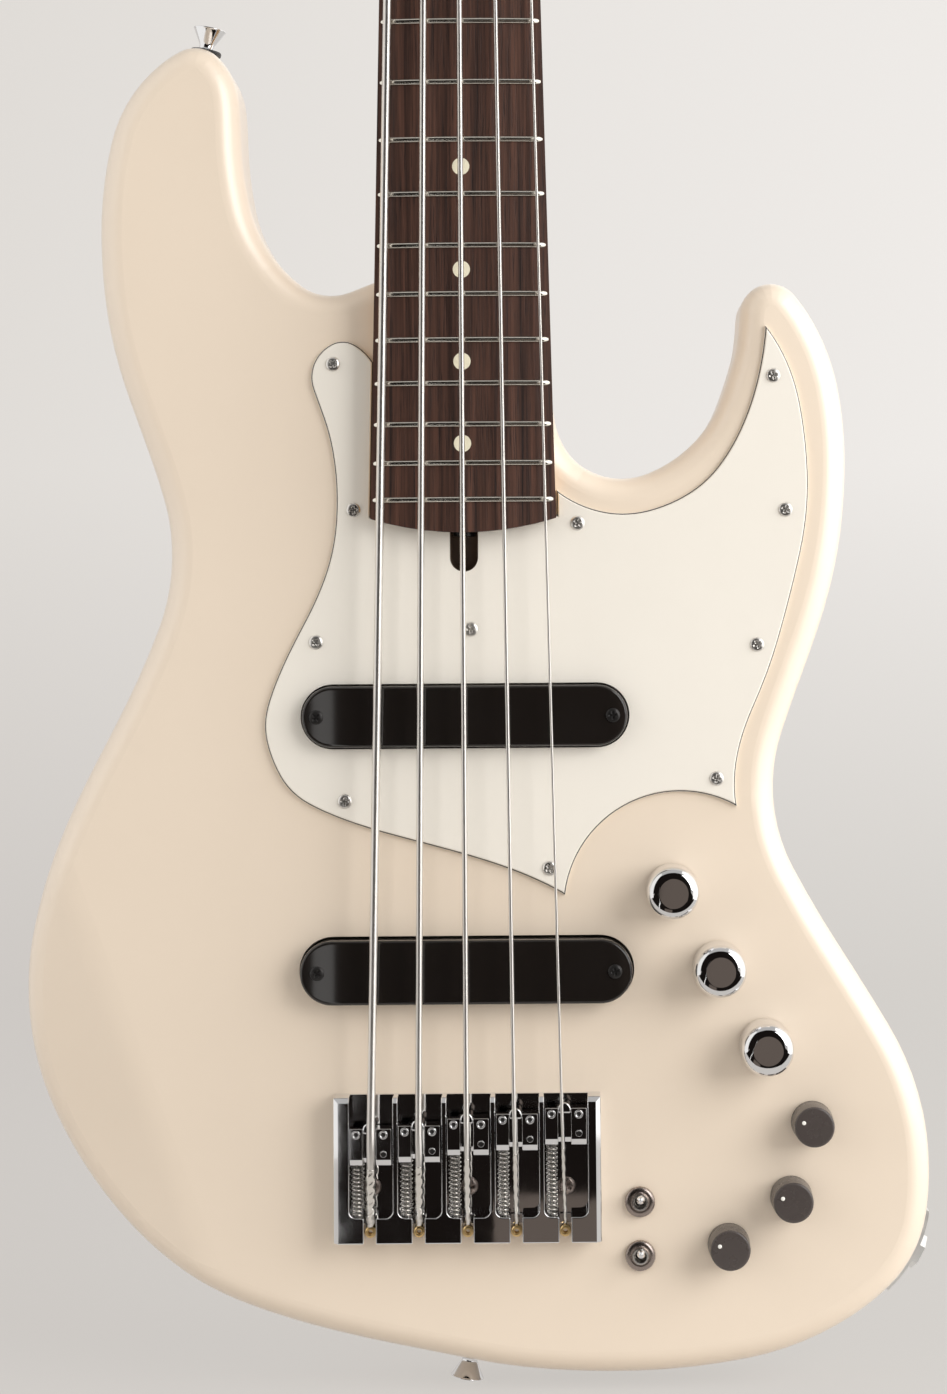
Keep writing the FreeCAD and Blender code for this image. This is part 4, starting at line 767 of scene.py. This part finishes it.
def string_path(index):
    thick, side = string_diameters[index], post_sides[index]
    rest = saddle_noses[index] - break_back
    nut_front = nut_rise + 2
    nut_height = board_height(string_across(index, nut_rise)) + nut_lift + thick / 2
    post_rise = nut_rise + post_rises[index]
    reach = post_radius + thick / 2
    post = string_across(index, post_rise) + side * reach
    winding = []
    for i in range(winding_steps + 1):
        turn = 3 * math.pi * i / winding_steps
        height = winding_top - (thick + winding_gap) * turn / (2 * math.pi)
        winding.append(spot(post - side * reach * math.cos(turn), post_rise + reach * math.sin(turn), height))
    route = [
        spot(string_across(index, bridge_foot), string_foot, string_start),
        spot(string_across(index, rest), rest, saddle_height(index)),
        spot(string_across(index, nut_front), nut_front, nut_height), winding[0],
    ]
    return round_corners(route, bend_leg) + winding[1:]


for index, name in enumerate(string_names):
    shape = tube(string_path(index), string_diameters[index] / 2, 14)
    make_piece("wound_string_" + name, shape, wound_string, "instrument", ["string_" + name])
print("five strings, the thickest", string_diameters[0], "mm")

# %% [markdown]
# Each fret is a length of nickel wire with a round crown, and its ends are filed down at an angle, which
# makes them shine as dots along both edges of the board. So the crown's half ellipse is carried across the
# curved board station by station. At each end its height falls off evenly and its width rounds off, which
# leaves a small sloping facet.

# %% Frets
fret_count, fret_half_width, fret_crown, fret_end, fret_sink = 22, 1.2, 1.1, 2.1, 0.1
heel_end, heel_width, nut_width, fret_inset = 333.0, 73.1, 45.0, 0.8
end_steps, run_steps, crown_steps = 6, 16, 10


def fret_wire(number):
    rise = scale_end + scale_length * 2 ** (-number / 12)
    width = heel_width + (nut_width - heel_width) * (rise - heel_end) / (nut_rise - heel_end)
    half = width / 2 - fret_inset
    inner = half - fret_end
    shares = [k / end_steps for k in range(end_steps + 1)]
    filed = [(-half + fret_end * s, 0.12 + 0.88 * s, math.sin(math.radians(20 + 70 * s))) for s in shares]
    stations = filed + [(-inner + 2 * inner * k / run_steps, 1.0, 1.0) for k in range(1, run_steps)]
    stations += [(-across, tall, wide) for across, tall, wide in reversed(filed)]
    points = []
    for across, tall, wide in stations:
        ground = board_height(across)
        for k in range(crown_steps + 1):
            turn = math.pi * k / crown_steps
            crown = fret_crown * math.sin(turn) * tall if 0 < k < crown_steps else -fret_sink
            points.append(spot(across, rise + fret_half_width * math.cos(turn) * wide, ground + crown))
    return points, skin(len(stations), crown_steps + 1)


fret_shapes = [fret_wire(number) for number in range(1, fret_count + 1)]
make_piece("fret_wires", join(fret_shapes), fret_nickel, "instrument", ["frets"])
print(fret_count, "frets with filed ends")

# %% [markdown]
# The bridge is milled from one block: five channels for the saddles, open towards the neck and with round
# corners at the tail, and five slots through the tail for the strings. What is left standing are six walls on
# a floor. Each wall is a soft block with its own outline. The long outer edges and the front edge carry a
# wide chamfer, and every other edge is only broken, which draws the fine light lines along the channels.

# %% Bridge
bridge_half, channel_foot, bridge_front, wall_top, floor_top = 52.25, 59.2, 105.7, 12.0, 2.5
channel_half, channel_corner, channel_shift = 8.45, 3.0, 0.5
slot_half, slot_back, sill_back, sill_front, tuck = 2.3, 55.4, 55.3, 59.15, 0.05
screw_offset, screw_height = 5.05, 8.2


def arc(across, rise, radius, start, stop, steps=10):
    turns = [math.radians(start + (stop - start) * k / steps) for k in range(steps + 1)]
    return [(across + radius * math.cos(t), rise + radius * math.sin(t)) for t in turns]


def box_plan(left, right, low, high):
    return [(left, low), (right, low), (right, high), (left, high)]


def wall_outline(number):
    bend = channel_foot + channel_corner
    right_side = [(bridge_half, bridge_foot), (bridge_half, bridge_front)]
    left_side = [(-bridge_half, bridge_front), (-bridge_half, bridge_foot)]
    if number < 5:
        middle = string_across(number, bridge_foot)
        slot, side = middle - slot_half, middle + channel_shift - channel_half
        right_side = [(slot, bridge_foot), (slot, channel_foot)]
        right_side += arc(side + channel_corner, bend, channel_corner, 270, 180) + [(side, bridge_front)]
    if number > 0:
        middle = string_across(number - 1, bridge_foot)
        slot, side = middle + slot_half, middle + channel_shift + channel_half
        left_side = [(side, bridge_front)] + arc(side - channel_corner, bend, channel_corner, 0, -90)
        left_side += [(slot, channel_foot), (slot, bridge_foot)]
    return right_side + left_side


def outer_edge(one, other):
    leading = one[1] == other[1] == bridge_front
    return leading or one[0] == other[0] and abs(one[0]) == bridge_half


milling = {"soft": 0.5, "steps": 4, "chamfer": 2.0, "drop": 1.6, "milled": outer_edge}
walls = [soft_block(wall_outline(number), 0.02, wall_top, **milling) for number in range(6)]
low, high, edge = bridge_foot + tuck, bridge_front - tuck, bridge_half - tuck
floor_outline = [(-edge, low)]
sills = []
for index in range(5):
    slot = string_across(index, bridge_foot)
    left, right = slot - slot_half - tuck, slot + slot_half + tuck
    floor_outline += [(left, low), (left, slot_back), (right, slot_back), (right, low)]
    sills.append(soft_block(box_plan(left, right, sill_back, sill_front), 1.0, 4.0, soft=0.2))
floor_outline += [(edge, low), (edge, high), (-edge, high)]
bridge_floor = soft_block(floor_outline, 0.04, floor_top, soft=0.15, steps=2)
shape = join(walls + sills + [bridge_floor])
keep_flats(make_piece("milled_bridge", shape, chrome, "instrument", ["bridge_block"]))
head = [(2.4, 0), (2.4, 0.12), (2.15, 0.25), (1.2, 0.25), (1.05, 0.05), (0, 0.05)]
heads = []
for index in range(5):
    seat = spot(string_across(index, bridge_foot) - screw_offset, bridge_foot, screw_height)
    heads.append(lathe(head, seat, (0, 0, -1), 36))
make_piece("intonation_heads", join(heads), nickel, "instrument")
print("bridge of", len(walls), "walls")

# %% [markdown]
# A saddle has two legs with a height screw in each and a lower floor between them, which carries a rounded
# tongue for the string. The rear edges of the legs are milled off at an angle, and that slope catches the
# floor's light as a white bar. The left leg straddles the intonation screw, so it's built from a cap on two
# cheeks.

# %% Saddles
saddle_length, leg_back, tongue_half = 15.8, 1.5, 2.5


def saddle_top(index):
    return saddle_height(index) - string_diameters[index] / 2 - 0.8


def saddle_shape(index):
    middle, nose, top = string_across(index, bridge_foot), saddle_noses[index], saddle_top(index)
    rear, lead, screw = nose - saddle_length, nose - leg_back, middle - screw_offset

    def rear_edge(one, other):
        return one[1] == other[1] == rear

    leg = {"top": top, "soft": 0.3, "steps": 4, "chamfer": 2.4, "drop": 1.35, "milled": rear_edge}
    cheek = {"bottom": 4.2, "top": 10.5, "soft": 0.1, "steps": 2}
    floor = {"bottom": 4.25, "top": 6.8, "soft": 0.1, "steps": 2, "chamfer": 2.0, "drop": 1.1, "milled": rear_edge}
    tongue = arc(middle, nose - 1.8, tongue_half, 0, 180, 16)
    tongue += [(middle - tongue_half, nose - 3.4), (middle + tongue_half, nose - 3.4)]
    return join([
        soft_block(box_plan(middle - 7.6, middle - 2.5, rear, lead), 9.9, **leg),
        soft_block(box_plan(middle - 7.55, screw - 1.6, rear + tuck, lead - tuck), **cheek),
        soft_block(box_plan(screw + 1.6, middle - 2.55, rear + tuck, lead - tuck), **cheek),
        soft_block(box_plan(middle + 2.5, middle + 8.6, rear, lead), 4.2, **leg),
        soft_block(box_plan(middle - 2.6, middle + 2.6, rear, lead - tuck), **floor),
        soft_block(tongue, 4.3, top + 0.5, soft=0.7, steps=4),
    ])


for index, name in enumerate(string_names):
    body = "saddle_" + name
    keep_flats(make_piece("milled_" + body, saddle_shape(index), chrome, body, [body]))
print("five saddles, the first", round(saddle_top(0), 2), "mm high")

# %% [markdown]
# The pickup covers are long plastic caps with round ends. They are moulded, so their top edge is rounded much
# more than a milled one, and the light runs round it as a soft line.

# %% Pickup covers
pickups = [("neck_pickup", 253.7, 128.2, 24.0, 8.0), ("bridge_pickup", 153.7, 130.4, 25.2, 9.0)]
cover_depth = 15.5
for name, rise, length, width, top in pickups:
    half = (length - width) / 2
    outline = arc(half, rise, width / 2, -90, 90, 32) + arc(-half, rise, width / 2, 90, 270, 32)
    shape = soft_block(outline, top - cover_depth, top, soft=1.4, steps=6)
    keep_flats(make_piece(name + "_cover", shape, black_cover, "instrument", [name]))
print("two pickup covers")

# %% [markdown]
# Next to the ball a string is wrapped in a second, coarser winding, which makes a lumpy sleeve up to just
# before the saddle. A tube whose radius swells with a turning two-lobed wave gives that twisted look. The
# ball end is a small brass spool with its hole to the front.

# %% Tail wraps and ball ends
wrap_step, wrap_turn, wrap_stop = 0.35, 4.2, 15.5
ball_rise, ball_height = 53.2, 4.0
spool = [
    (0.9, 0.1), (1.1, 0), (1.95, 0), (2.2, 0.3), (2.2, 1.0), (1.8, 1.5), (1.8, 2.9), (2.2, 3.4), (2.2, 4.1),
    (1.95, 4.4), (1.1, 4.4), (0.9, 4.3), (0.9, 0.1),
]
for index, name in enumerate(string_names):
    tail = string_path(index)
    way = (tail[1] - tail[0]).normalized()
    wrap_length = saddle_noses[index] - wrap_stop - string_foot
    wrap_path = [tail[0] + way * (wrap_step * i * mm) for i in range(int(wrap_length / wrap_step))]
    last = len(wrap_path) - 1

    def wrap_swell(k, turn):
        tapering = min(1.0, (last - k) / 10)
        return 1.0 + tapering * (0.2 + 0.1 * math.cos(2 * turn - 2 * math.pi * k * wrap_step / wrap_turn))

    shape = tube(wrap_path, string_diameters[index] / 2, 16, wrap_swell)
    make_piece("tail_wrap_" + name, shape, spring_steel, "instrument")
    shape = lathe(spool, spot(string_across(index, bridge_foot), ball_rise, ball_height), front, 32)
    make_piece("ball_end_" + name, shape, brass, "instrument")
print("tail wraps and ball ends made")

# %% [markdown]
# Each saddle is pushed forward by a fine spring round its intonation screw. A spring is a tube along a helix.
# One end rests on the bridge and the other on the saddle.

# %% Saddle springs
spring_pitch, coil_radius, coil_steps, wire_radius = 1.65, 1.95, 14, 0.35
for index, name in enumerate(string_names):
    across = string_across(index, bridge_foot) - screw_offset
    low, high = 59.9, saddle_noses[index] - saddle_length - 0.7
    steps = round((high - low) / spring_pitch) * coil_steps
    helix = []
    for i in range(steps + 1):
        turn = 2 * math.pi * i / coil_steps
        rise = low + (high - low) * i / steps
        side, lift = coil_radius * math.cos(turn), coil_radius * math.sin(turn)
        helix.append(spot(across + side, rise, screw_height + lift))
    shape = tube(helix, wire_radius, 8)
    spring = make_piece("saddle_spring_" + name, shape, spring_steel, None, ["saddle_springs"])
    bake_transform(spring)
print("five springs with a turn every", spring_pitch, "mm")

# %% [markdown]
# The height screws in the saddles are small socket screws with a rounded collar. From the front each shows
# bright crescents round a dark six-sided well. Behind the right one lies the open end of a small threaded
# hole. Both are drawn as rings of points that go from round outside to six-sided inside, and they ride on
# their saddle and slide along with it. Wells and holes are shallow, and their black floors are painted shade,
# the dark of a deep hole.

# %% Height screws
screw_back, hole_back, right_screw, ring_steps = 3.75, 11.2, 5.55, 36


def socket_ring(centre, profile, corners):
    points = []
    for radius, height, inside in profile:
        for i in range(ring_steps):
            turn = 2 * math.pi * i / ring_steps
            sector = turn % (2 * math.pi / corners) - math.pi / corners
            flat = math.cos(math.pi / corners) / math.cos(sector) if inside else 1
            offset = Vector((math.cos(turn), 0, math.sin(turn))) * (radius * flat * mm)
            points.append(centre + offset + front * (height * mm))
    return points, skin(len(profile), ring_steps, close_start=False)


collar = [(1.68, -0.1, False), (1.68, 0.2, False), (1.6, 0.38, False), (1.42, 0.48, False), (1.24, 0.48, False)]
collar += [(1.05, 0.36, False), (0.94, 0.22, True), (0.9, 0.03, True)]
small_hole = [(1.3, -0.1, False), (1.3, 0.06, False), (1.2, 0.1, False), (1.05, 0.07, False)]
small_hole.append((0.9, 0.02, False))
for index, name in enumerate(string_names):
    middle = string_across(index, bridge_foot)
    top, nose = saddle_top(index), saddle_noses[index]
    places = [spot(middle + side, nose - screw_back, top) for side in (-screw_offset, right_screw)]
    rings = [socket_ring(place, collar, 6) for place in places]
    rings.append(socket_ring(spot(middle + right_screw, nose - hole_back, top), small_hole, 24))
    piece = make_piece("height_screws_" + name, join(rings), chrome, "saddle_" + name)
    # the floors of the shallow wells and holes take the black as painted shade, the dark of a deep hole
    piece.data.materials.append(black_screw_and_hole_shade)
    for polygon in piece.data.polygons:
        if len(polygon.vertices) > 4:
            polygon.material_index = 1
print("ten socket screws and five small holes")

# %% [markdown]
# The guard, pickups, bridge, back cover and neck plate are held by domed screws with a cross slot. The dome
# and the slot are one height field over a round grid: the dome sets the height, and the two crossing grooves
# lower it. That gives clean soft edges to the slot, which a flat disc with a drawn cross would never show
# from the side.

# %% Cross-head screws
groove_half, groove_side, groove_end, groove_slope, groove_depth = 0.19, 0.07, 0.62, 0.16, 0.55
head_rings, head_steps = 16, 56


def ramp(value):
    return min(1, max(0, value))


def cross_head(base, axis, radius, rim, crown, turned):
    side, other = sides_of(axis)
    points, faces = [base + axis * ((crown - groove_depth * crown) * mm)], []
    for k in range(1, head_rings + 1):
        reach = k / head_rings
        for i in range(head_steps):
            turn = 2 * math.pi * i / head_steps
            u, v = abs(reach * math.cos(turn + turned)), abs(reach * math.sin(turn + turned))
            groove = ramp((groove_half - min(u, v)) / groove_side) * ramp((groove_end - max(u, v)) / groove_slope)
            dome = rim + (crown - rim) * math.sqrt(max(0, 1 - reach ** 2))
            out = side * math.cos(turn) + other * math.sin(turn)
            points.append(base + out * (reach * radius * mm) + axis * ((dome - groove_depth * crown * groove) * mm))
    for i in range(head_steps):
        out = points[-head_steps + i] - base
        points.append(base + out - axis * out.dot(axis))
    for i in range(head_steps):
        j = (i + 1) % head_steps
        faces.append((0, 1 + i, 1 + j))
        for k in range(head_rings):
            low, high = 1 + k * head_steps, 1 + (k + 1) * head_steps
            faces.append((low + i, high + i, high + j, low + j))
    return points, faces


def screw_set(name, places, axis, radius, rim, crown, material, stands_for):
    heads = [cross_head(place, axis, radius, rim, crown, 0.7 * k) for k, place in enumerate(places)]
    make_piece(name, join(heads), material, "instrument", [stands_for])


print("a screw head has", len(cross_head(spot(0, 0, 0), front, 2.8, 0.25, 1.2, 0)[0]), "points")

# %% [markdown]
# The screws of guard and back cover sit at shares of the body's width and length, and the others are measured
# from the piece they hold. Each head is turned a little further than the one before, as hand-driven screws
# are.

# %% Places of the screws
guard_screw_shares = [
    (-0.144, 0.746), (-0.122, 0.636), (0.126, 0.625), (0.344, 0.735), (0.356, 0.634), (0.323, 0.533),
    (0.277, 0.433), (0.092, 0.367), (-0.133, 0.418), (-0.164, 0.537), (0.007, 0.546),
]
cover_screw_shares = [
    (0.215, 0.391), (0.272, 0.391), (0.432, 0.190), (0.418, 0.106), (0.309, 0.047), (0.165, 0.047),
]
body_width, body_length = 358.0, 527.2
guard_top, cover_top, plate_top, pickup_screw, bridge_screw = 2.3, -44.5, -46.5, 58.3, 69.7
plate_rise, plate_across, plate_up = 363, 19, 22
guard_places = [spot(x * body_width, z * body_length, guard_top) for x, z in guard_screw_shares]
cover_places = [spot(x * body_width, z * body_length, cover_top) for x, z in cover_screw_shares]
pickup_places = [spot(side * pickup_screw, rise, top) for _, rise, _, _, top in pickups for side in (-1, 1)]
plate_corners = [(side * plate_across, plate_rise + end * plate_up) for side in (-1, 1) for end in (-1, 1)]
plate_places = [spot(across, rise, plate_top) for across, rise in plate_corners]
bridge_middles = [string_across(index, bridge_foot) + channel_shift for index in (0, 2, 4)]
bridge_places = [spot(across, bridge_screw, floor_top) for across in bridge_middles]
screw_set("guard_cross_heads", guard_places, front, 2.8, 0.25, 1.2, nickel, "guard_screws")
screw_set("pickup_cross_heads", pickup_places, front, 2.8, 0.25, 1.2, black_screw_and_hole_shade, "pickup_screws")
screw_set("cover_cross_heads", cover_places, back, 2.8, 0.25, 1.2, black_screw_and_hole_shade, "cover_screws")
screw_set("plate_cross_heads", plate_places, back, 4.6, 0.8, 2.4, nickel, "neck_screws")
# the bridge screws lie on the shaded channel floor, and their dark nickel is painted shade
screw_set("bridge_cross_heads", bridge_places, front, 3.5, 0.8, 1.9, dark_nickel_and_shade, "bridge_screws")
print("screws:", sum(map(len, (guard_places, cover_places, pickup_places, plate_places, bridge_places))))

# %% [markdown]
# The chrome knobs are turned from one bar: a slightly tapered side, a round rim, a shallow dome and a small
# flat top. The dome meets the top at a fine edge, so the grey patch in the top stops sharply where the black
# room in the dome begins, while rim and side mirror the soft boxes and the pale body. A lathe profile gives
# that in one go.

# %% Chrome knobs
chrome_knob_places = [(81.0, 184.7), (99.1, 154.2), (117.2, 123.6)]
dome_steps, dome_step = 8, 0.18
knob_profile = [(4.0, 0.6), (10.2, 0.6), (10.45, 0.8), (10.5, 1.2), (10.4, 8.0)]
knob_profile += arc(6.1, 15.4, 4.1, 0, 73, 14)
for k in range(1, dome_steps + 1):
    tilt = math.radians(17 - 7 * k / dome_steps)
    across, rise = knob_profile[-1]
    knob_profile.append((across - dome_step, rise + dome_step * math.tan(tilt)))
across, rise = knob_profile[-1]
knob_profile += [(across - 0.06, rise + 0.006), (across - 0.3, rise + 0.01), (0, rise + 0.03)]
for name, (across, rise) in zip(chrome_knobs, chrome_knob_places):
    cap = lathe(knob_profile, spot(across, rise, 0), front, 96)
    make_piece(name + "_cap", cap, chrome, name, [name])
print("three chrome knobs")

# %% [markdown]
# The slot at the end of the neck, where a key turns the truss rod, is dark inside with shade. A thin U-shaped
# tray in a dark brown lines the routed hole and paints that shade. The guard's white edge stays visible round it.

# %% Truss slot lining
slot_middle, slot_top, slot_outer, slot_inner = 316.2, 332.6, 5.55, 5.35


def slot_outline(half, height):
    outline = [(-half, slot_top)] + arc(0, slot_middle, half, 180, 360, 20) + [(half, slot_top)]
    return [spot(across, rise, height) for across, rise in outline]


loops = [slot_outline(slot_outer, height) for height in (-9.4, -0.05)]
loops += [slot_outline(slot_inner, height) for height in (-0.05, -9.2)]
shape = sum(loops, []), skin(len(loops), len(loops[0]))
make_piece("truss_slot_lining", shape, slot_shade_brown, "instrument")
print("slot lined to", slot_middle - slot_outer, "mm")

# %% [markdown]
# The black knobs are turned as well, with a rounded top edge, and carry a white dot that shows their setting.
# The toggle switches stand in round dark nuts with a finely notched rim. Knobs and dots ride on the same
# body, so they turn together.

# %% Black knobs and toggle nuts
black_knob_places = [(135.3, 93.3), (126.8, 64.2), (102.1, 46.0)]
dot_across, dot_rise, dot_seat = -4.2, 1.8, 13.68
small_profile = [(3.2, 0.6), (8.0, 0.6), (8.2, 0.75), (8.3, 1.1), (8.1, 7.0), (7.9, 12.0)]
small_profile += arc(6.8, 12.65, 1.03, 0, 90, 8) + [(6.2, 13.69), (0, 13.7)]
dome = [(0.8, 0), (0.8, 0.2), (0.72, 0.28), (0.45, 0.34), (0, 0.36)]
for name, (across, rise) in zip(black_knobs, black_knob_places):
    cap = lathe(small_profile, spot(across, rise, 0), front, 80)
    make_piece(name + "_cap", cap, black_knob, name, [name])
    dot = lathe(dome, spot(across + dot_across, rise + dot_rise, dot_seat), front, 28)
    make_piece(name + "_dot", dot, dot_white, name)

toggle_across, toggle_rises, nut_rim, notch = 67.4, (62.7, 41.8), 5.9, 0.02
nut_profile = [(3.15, 0.02), (5.75, 0.02), (5.95, 0.25), (5.95, 1.7), (5.6, 2.25), (4.2, 2.45), (3.25, 2.45)]
nut_profile.append((3.15, 2.3))
nuts = []
for rise in toggle_rises:
    centre = spot(toggle_across, rise, 0)
    points, faces = lathe(nut_profile, centre, front, 64)
    for k, place in enumerate(points):
        out = Vector((place.x - centre.x, 0, place.z - centre.z))
        if k % 2 and out.length > nut_rim * mm:
            points[k] = place - out * notch
    nuts.append((points, faces))
make_piece("toggle_dress_nuts", join(nuts), dark_nickel_and_shade, "instrument")
print("three black knobs with dots and two nuts")

# %% [markdown]
# The strap buttons flare out from a narrow neck, so a strap can't slip off. They are turned, so a lathe
# profile makes them. Felt washers sit under them and foam pads press up under the pickups. Felt and foam are
# soft, so their rims are rounded and their sides bulge a little where they are squeezed, with a small
# unevenness that keeps them from looking turned from plastic. It comes from noise, and the noise gets a fixed
# seed, because without one it starts from the clock and every run would give another felt.

# %% Strap buttons, felt washers and foam pads
def uneven(points, size, depth):
    return [p + noise.noise_vector(p * size) * (depth * mm) for p in points]


button_profile = [
    (0, 1.75), (3.5, 1.75), (3.6, 1.9), (3.4, 2.2), (3.1, 2.9), (3.05, 3.6), (3.15, 4.2), (3.4, 4.7), (3.5, 4.87),
    (6.3, 9.85), (6.4, 10.05), (6.6, 10.25), (6.68, 10.45), (6.6, 10.62), (6.35, 10.7), (6.1, 10.7), (4.2, 10.7),
    (4.0, 10.65), (3.3, 10.2), (3.1, 10.15), (0, 10.15),
]
felt_profile = [
    (1.9, 0.1), (2.2, 0), (6.0, 0), (6.25, 0.35), (6.3, 0.9), (6.25, 1.45), (6.0, 1.8), (2.2, 1.8), (1.9, 1.7),
    (1.9, 0.1),
]
felt_seed = 5
noise.seed_set(felt_seed)
strap_seats = [(Vector((0, 0, 0)), 188.7), (Vector((-104.715, 0, 521.928)) * mm, 10.3)]
buttons, washers = [], []
for seat, lean in strap_seats:
    way = Vector((math.sin(math.radians(lean)), 0, math.cos(math.radians(lean))))
    buttons.append(lathe(button_profile, seat, way, 64))
    points, faces = lathe(felt_profile, seat, way, 72)
    washers.append((uneven(points, 1400, 0.08), faces))
make_piece("flared_strap_buttons", join(buttons), chrome, "instrument", ["strap_buttons"])
make_piece("strap_washers", join(washers), felt, "instrument", ["strap_felts"])

pad_half_length, pad_half_width, pad_bottom, pad_below = 45, 4.9, -16, 13.5
columns, rows = 60, 20
pads = []
for _, rise, _, _, cover_face in pickups:
    points, top = [], cover_face - pad_below
    for i in range(columns + 1):
        ends = min(1.0, 0.86 + 0.14 * min(i, columns - i) / 2)
        along = -pad_half_length + 2 * pad_half_length * i / columns
        for j in range(rows):
            turn = 2 * math.pi * j / rows
            square = max(abs(math.cos(turn)), abs(math.sin(turn))) ** 0.8
            height = (top + pad_bottom) / 2 + (top - pad_bottom) / 2 * ends * math.sin(turn) / square
            points.append(spot(along, rise + pad_half_width * ends * math.cos(turn) / square, height))
    pads.append((uneven(points, 500, 0.1), skin(columns + 1, rows)))
make_piece("foam_pads", join(pads), pickup_foam, "instrument", ["pickup_foams"])
print("two buttons, two washers and two pads")

# %% Finish
bpy.context.view_layer.update()
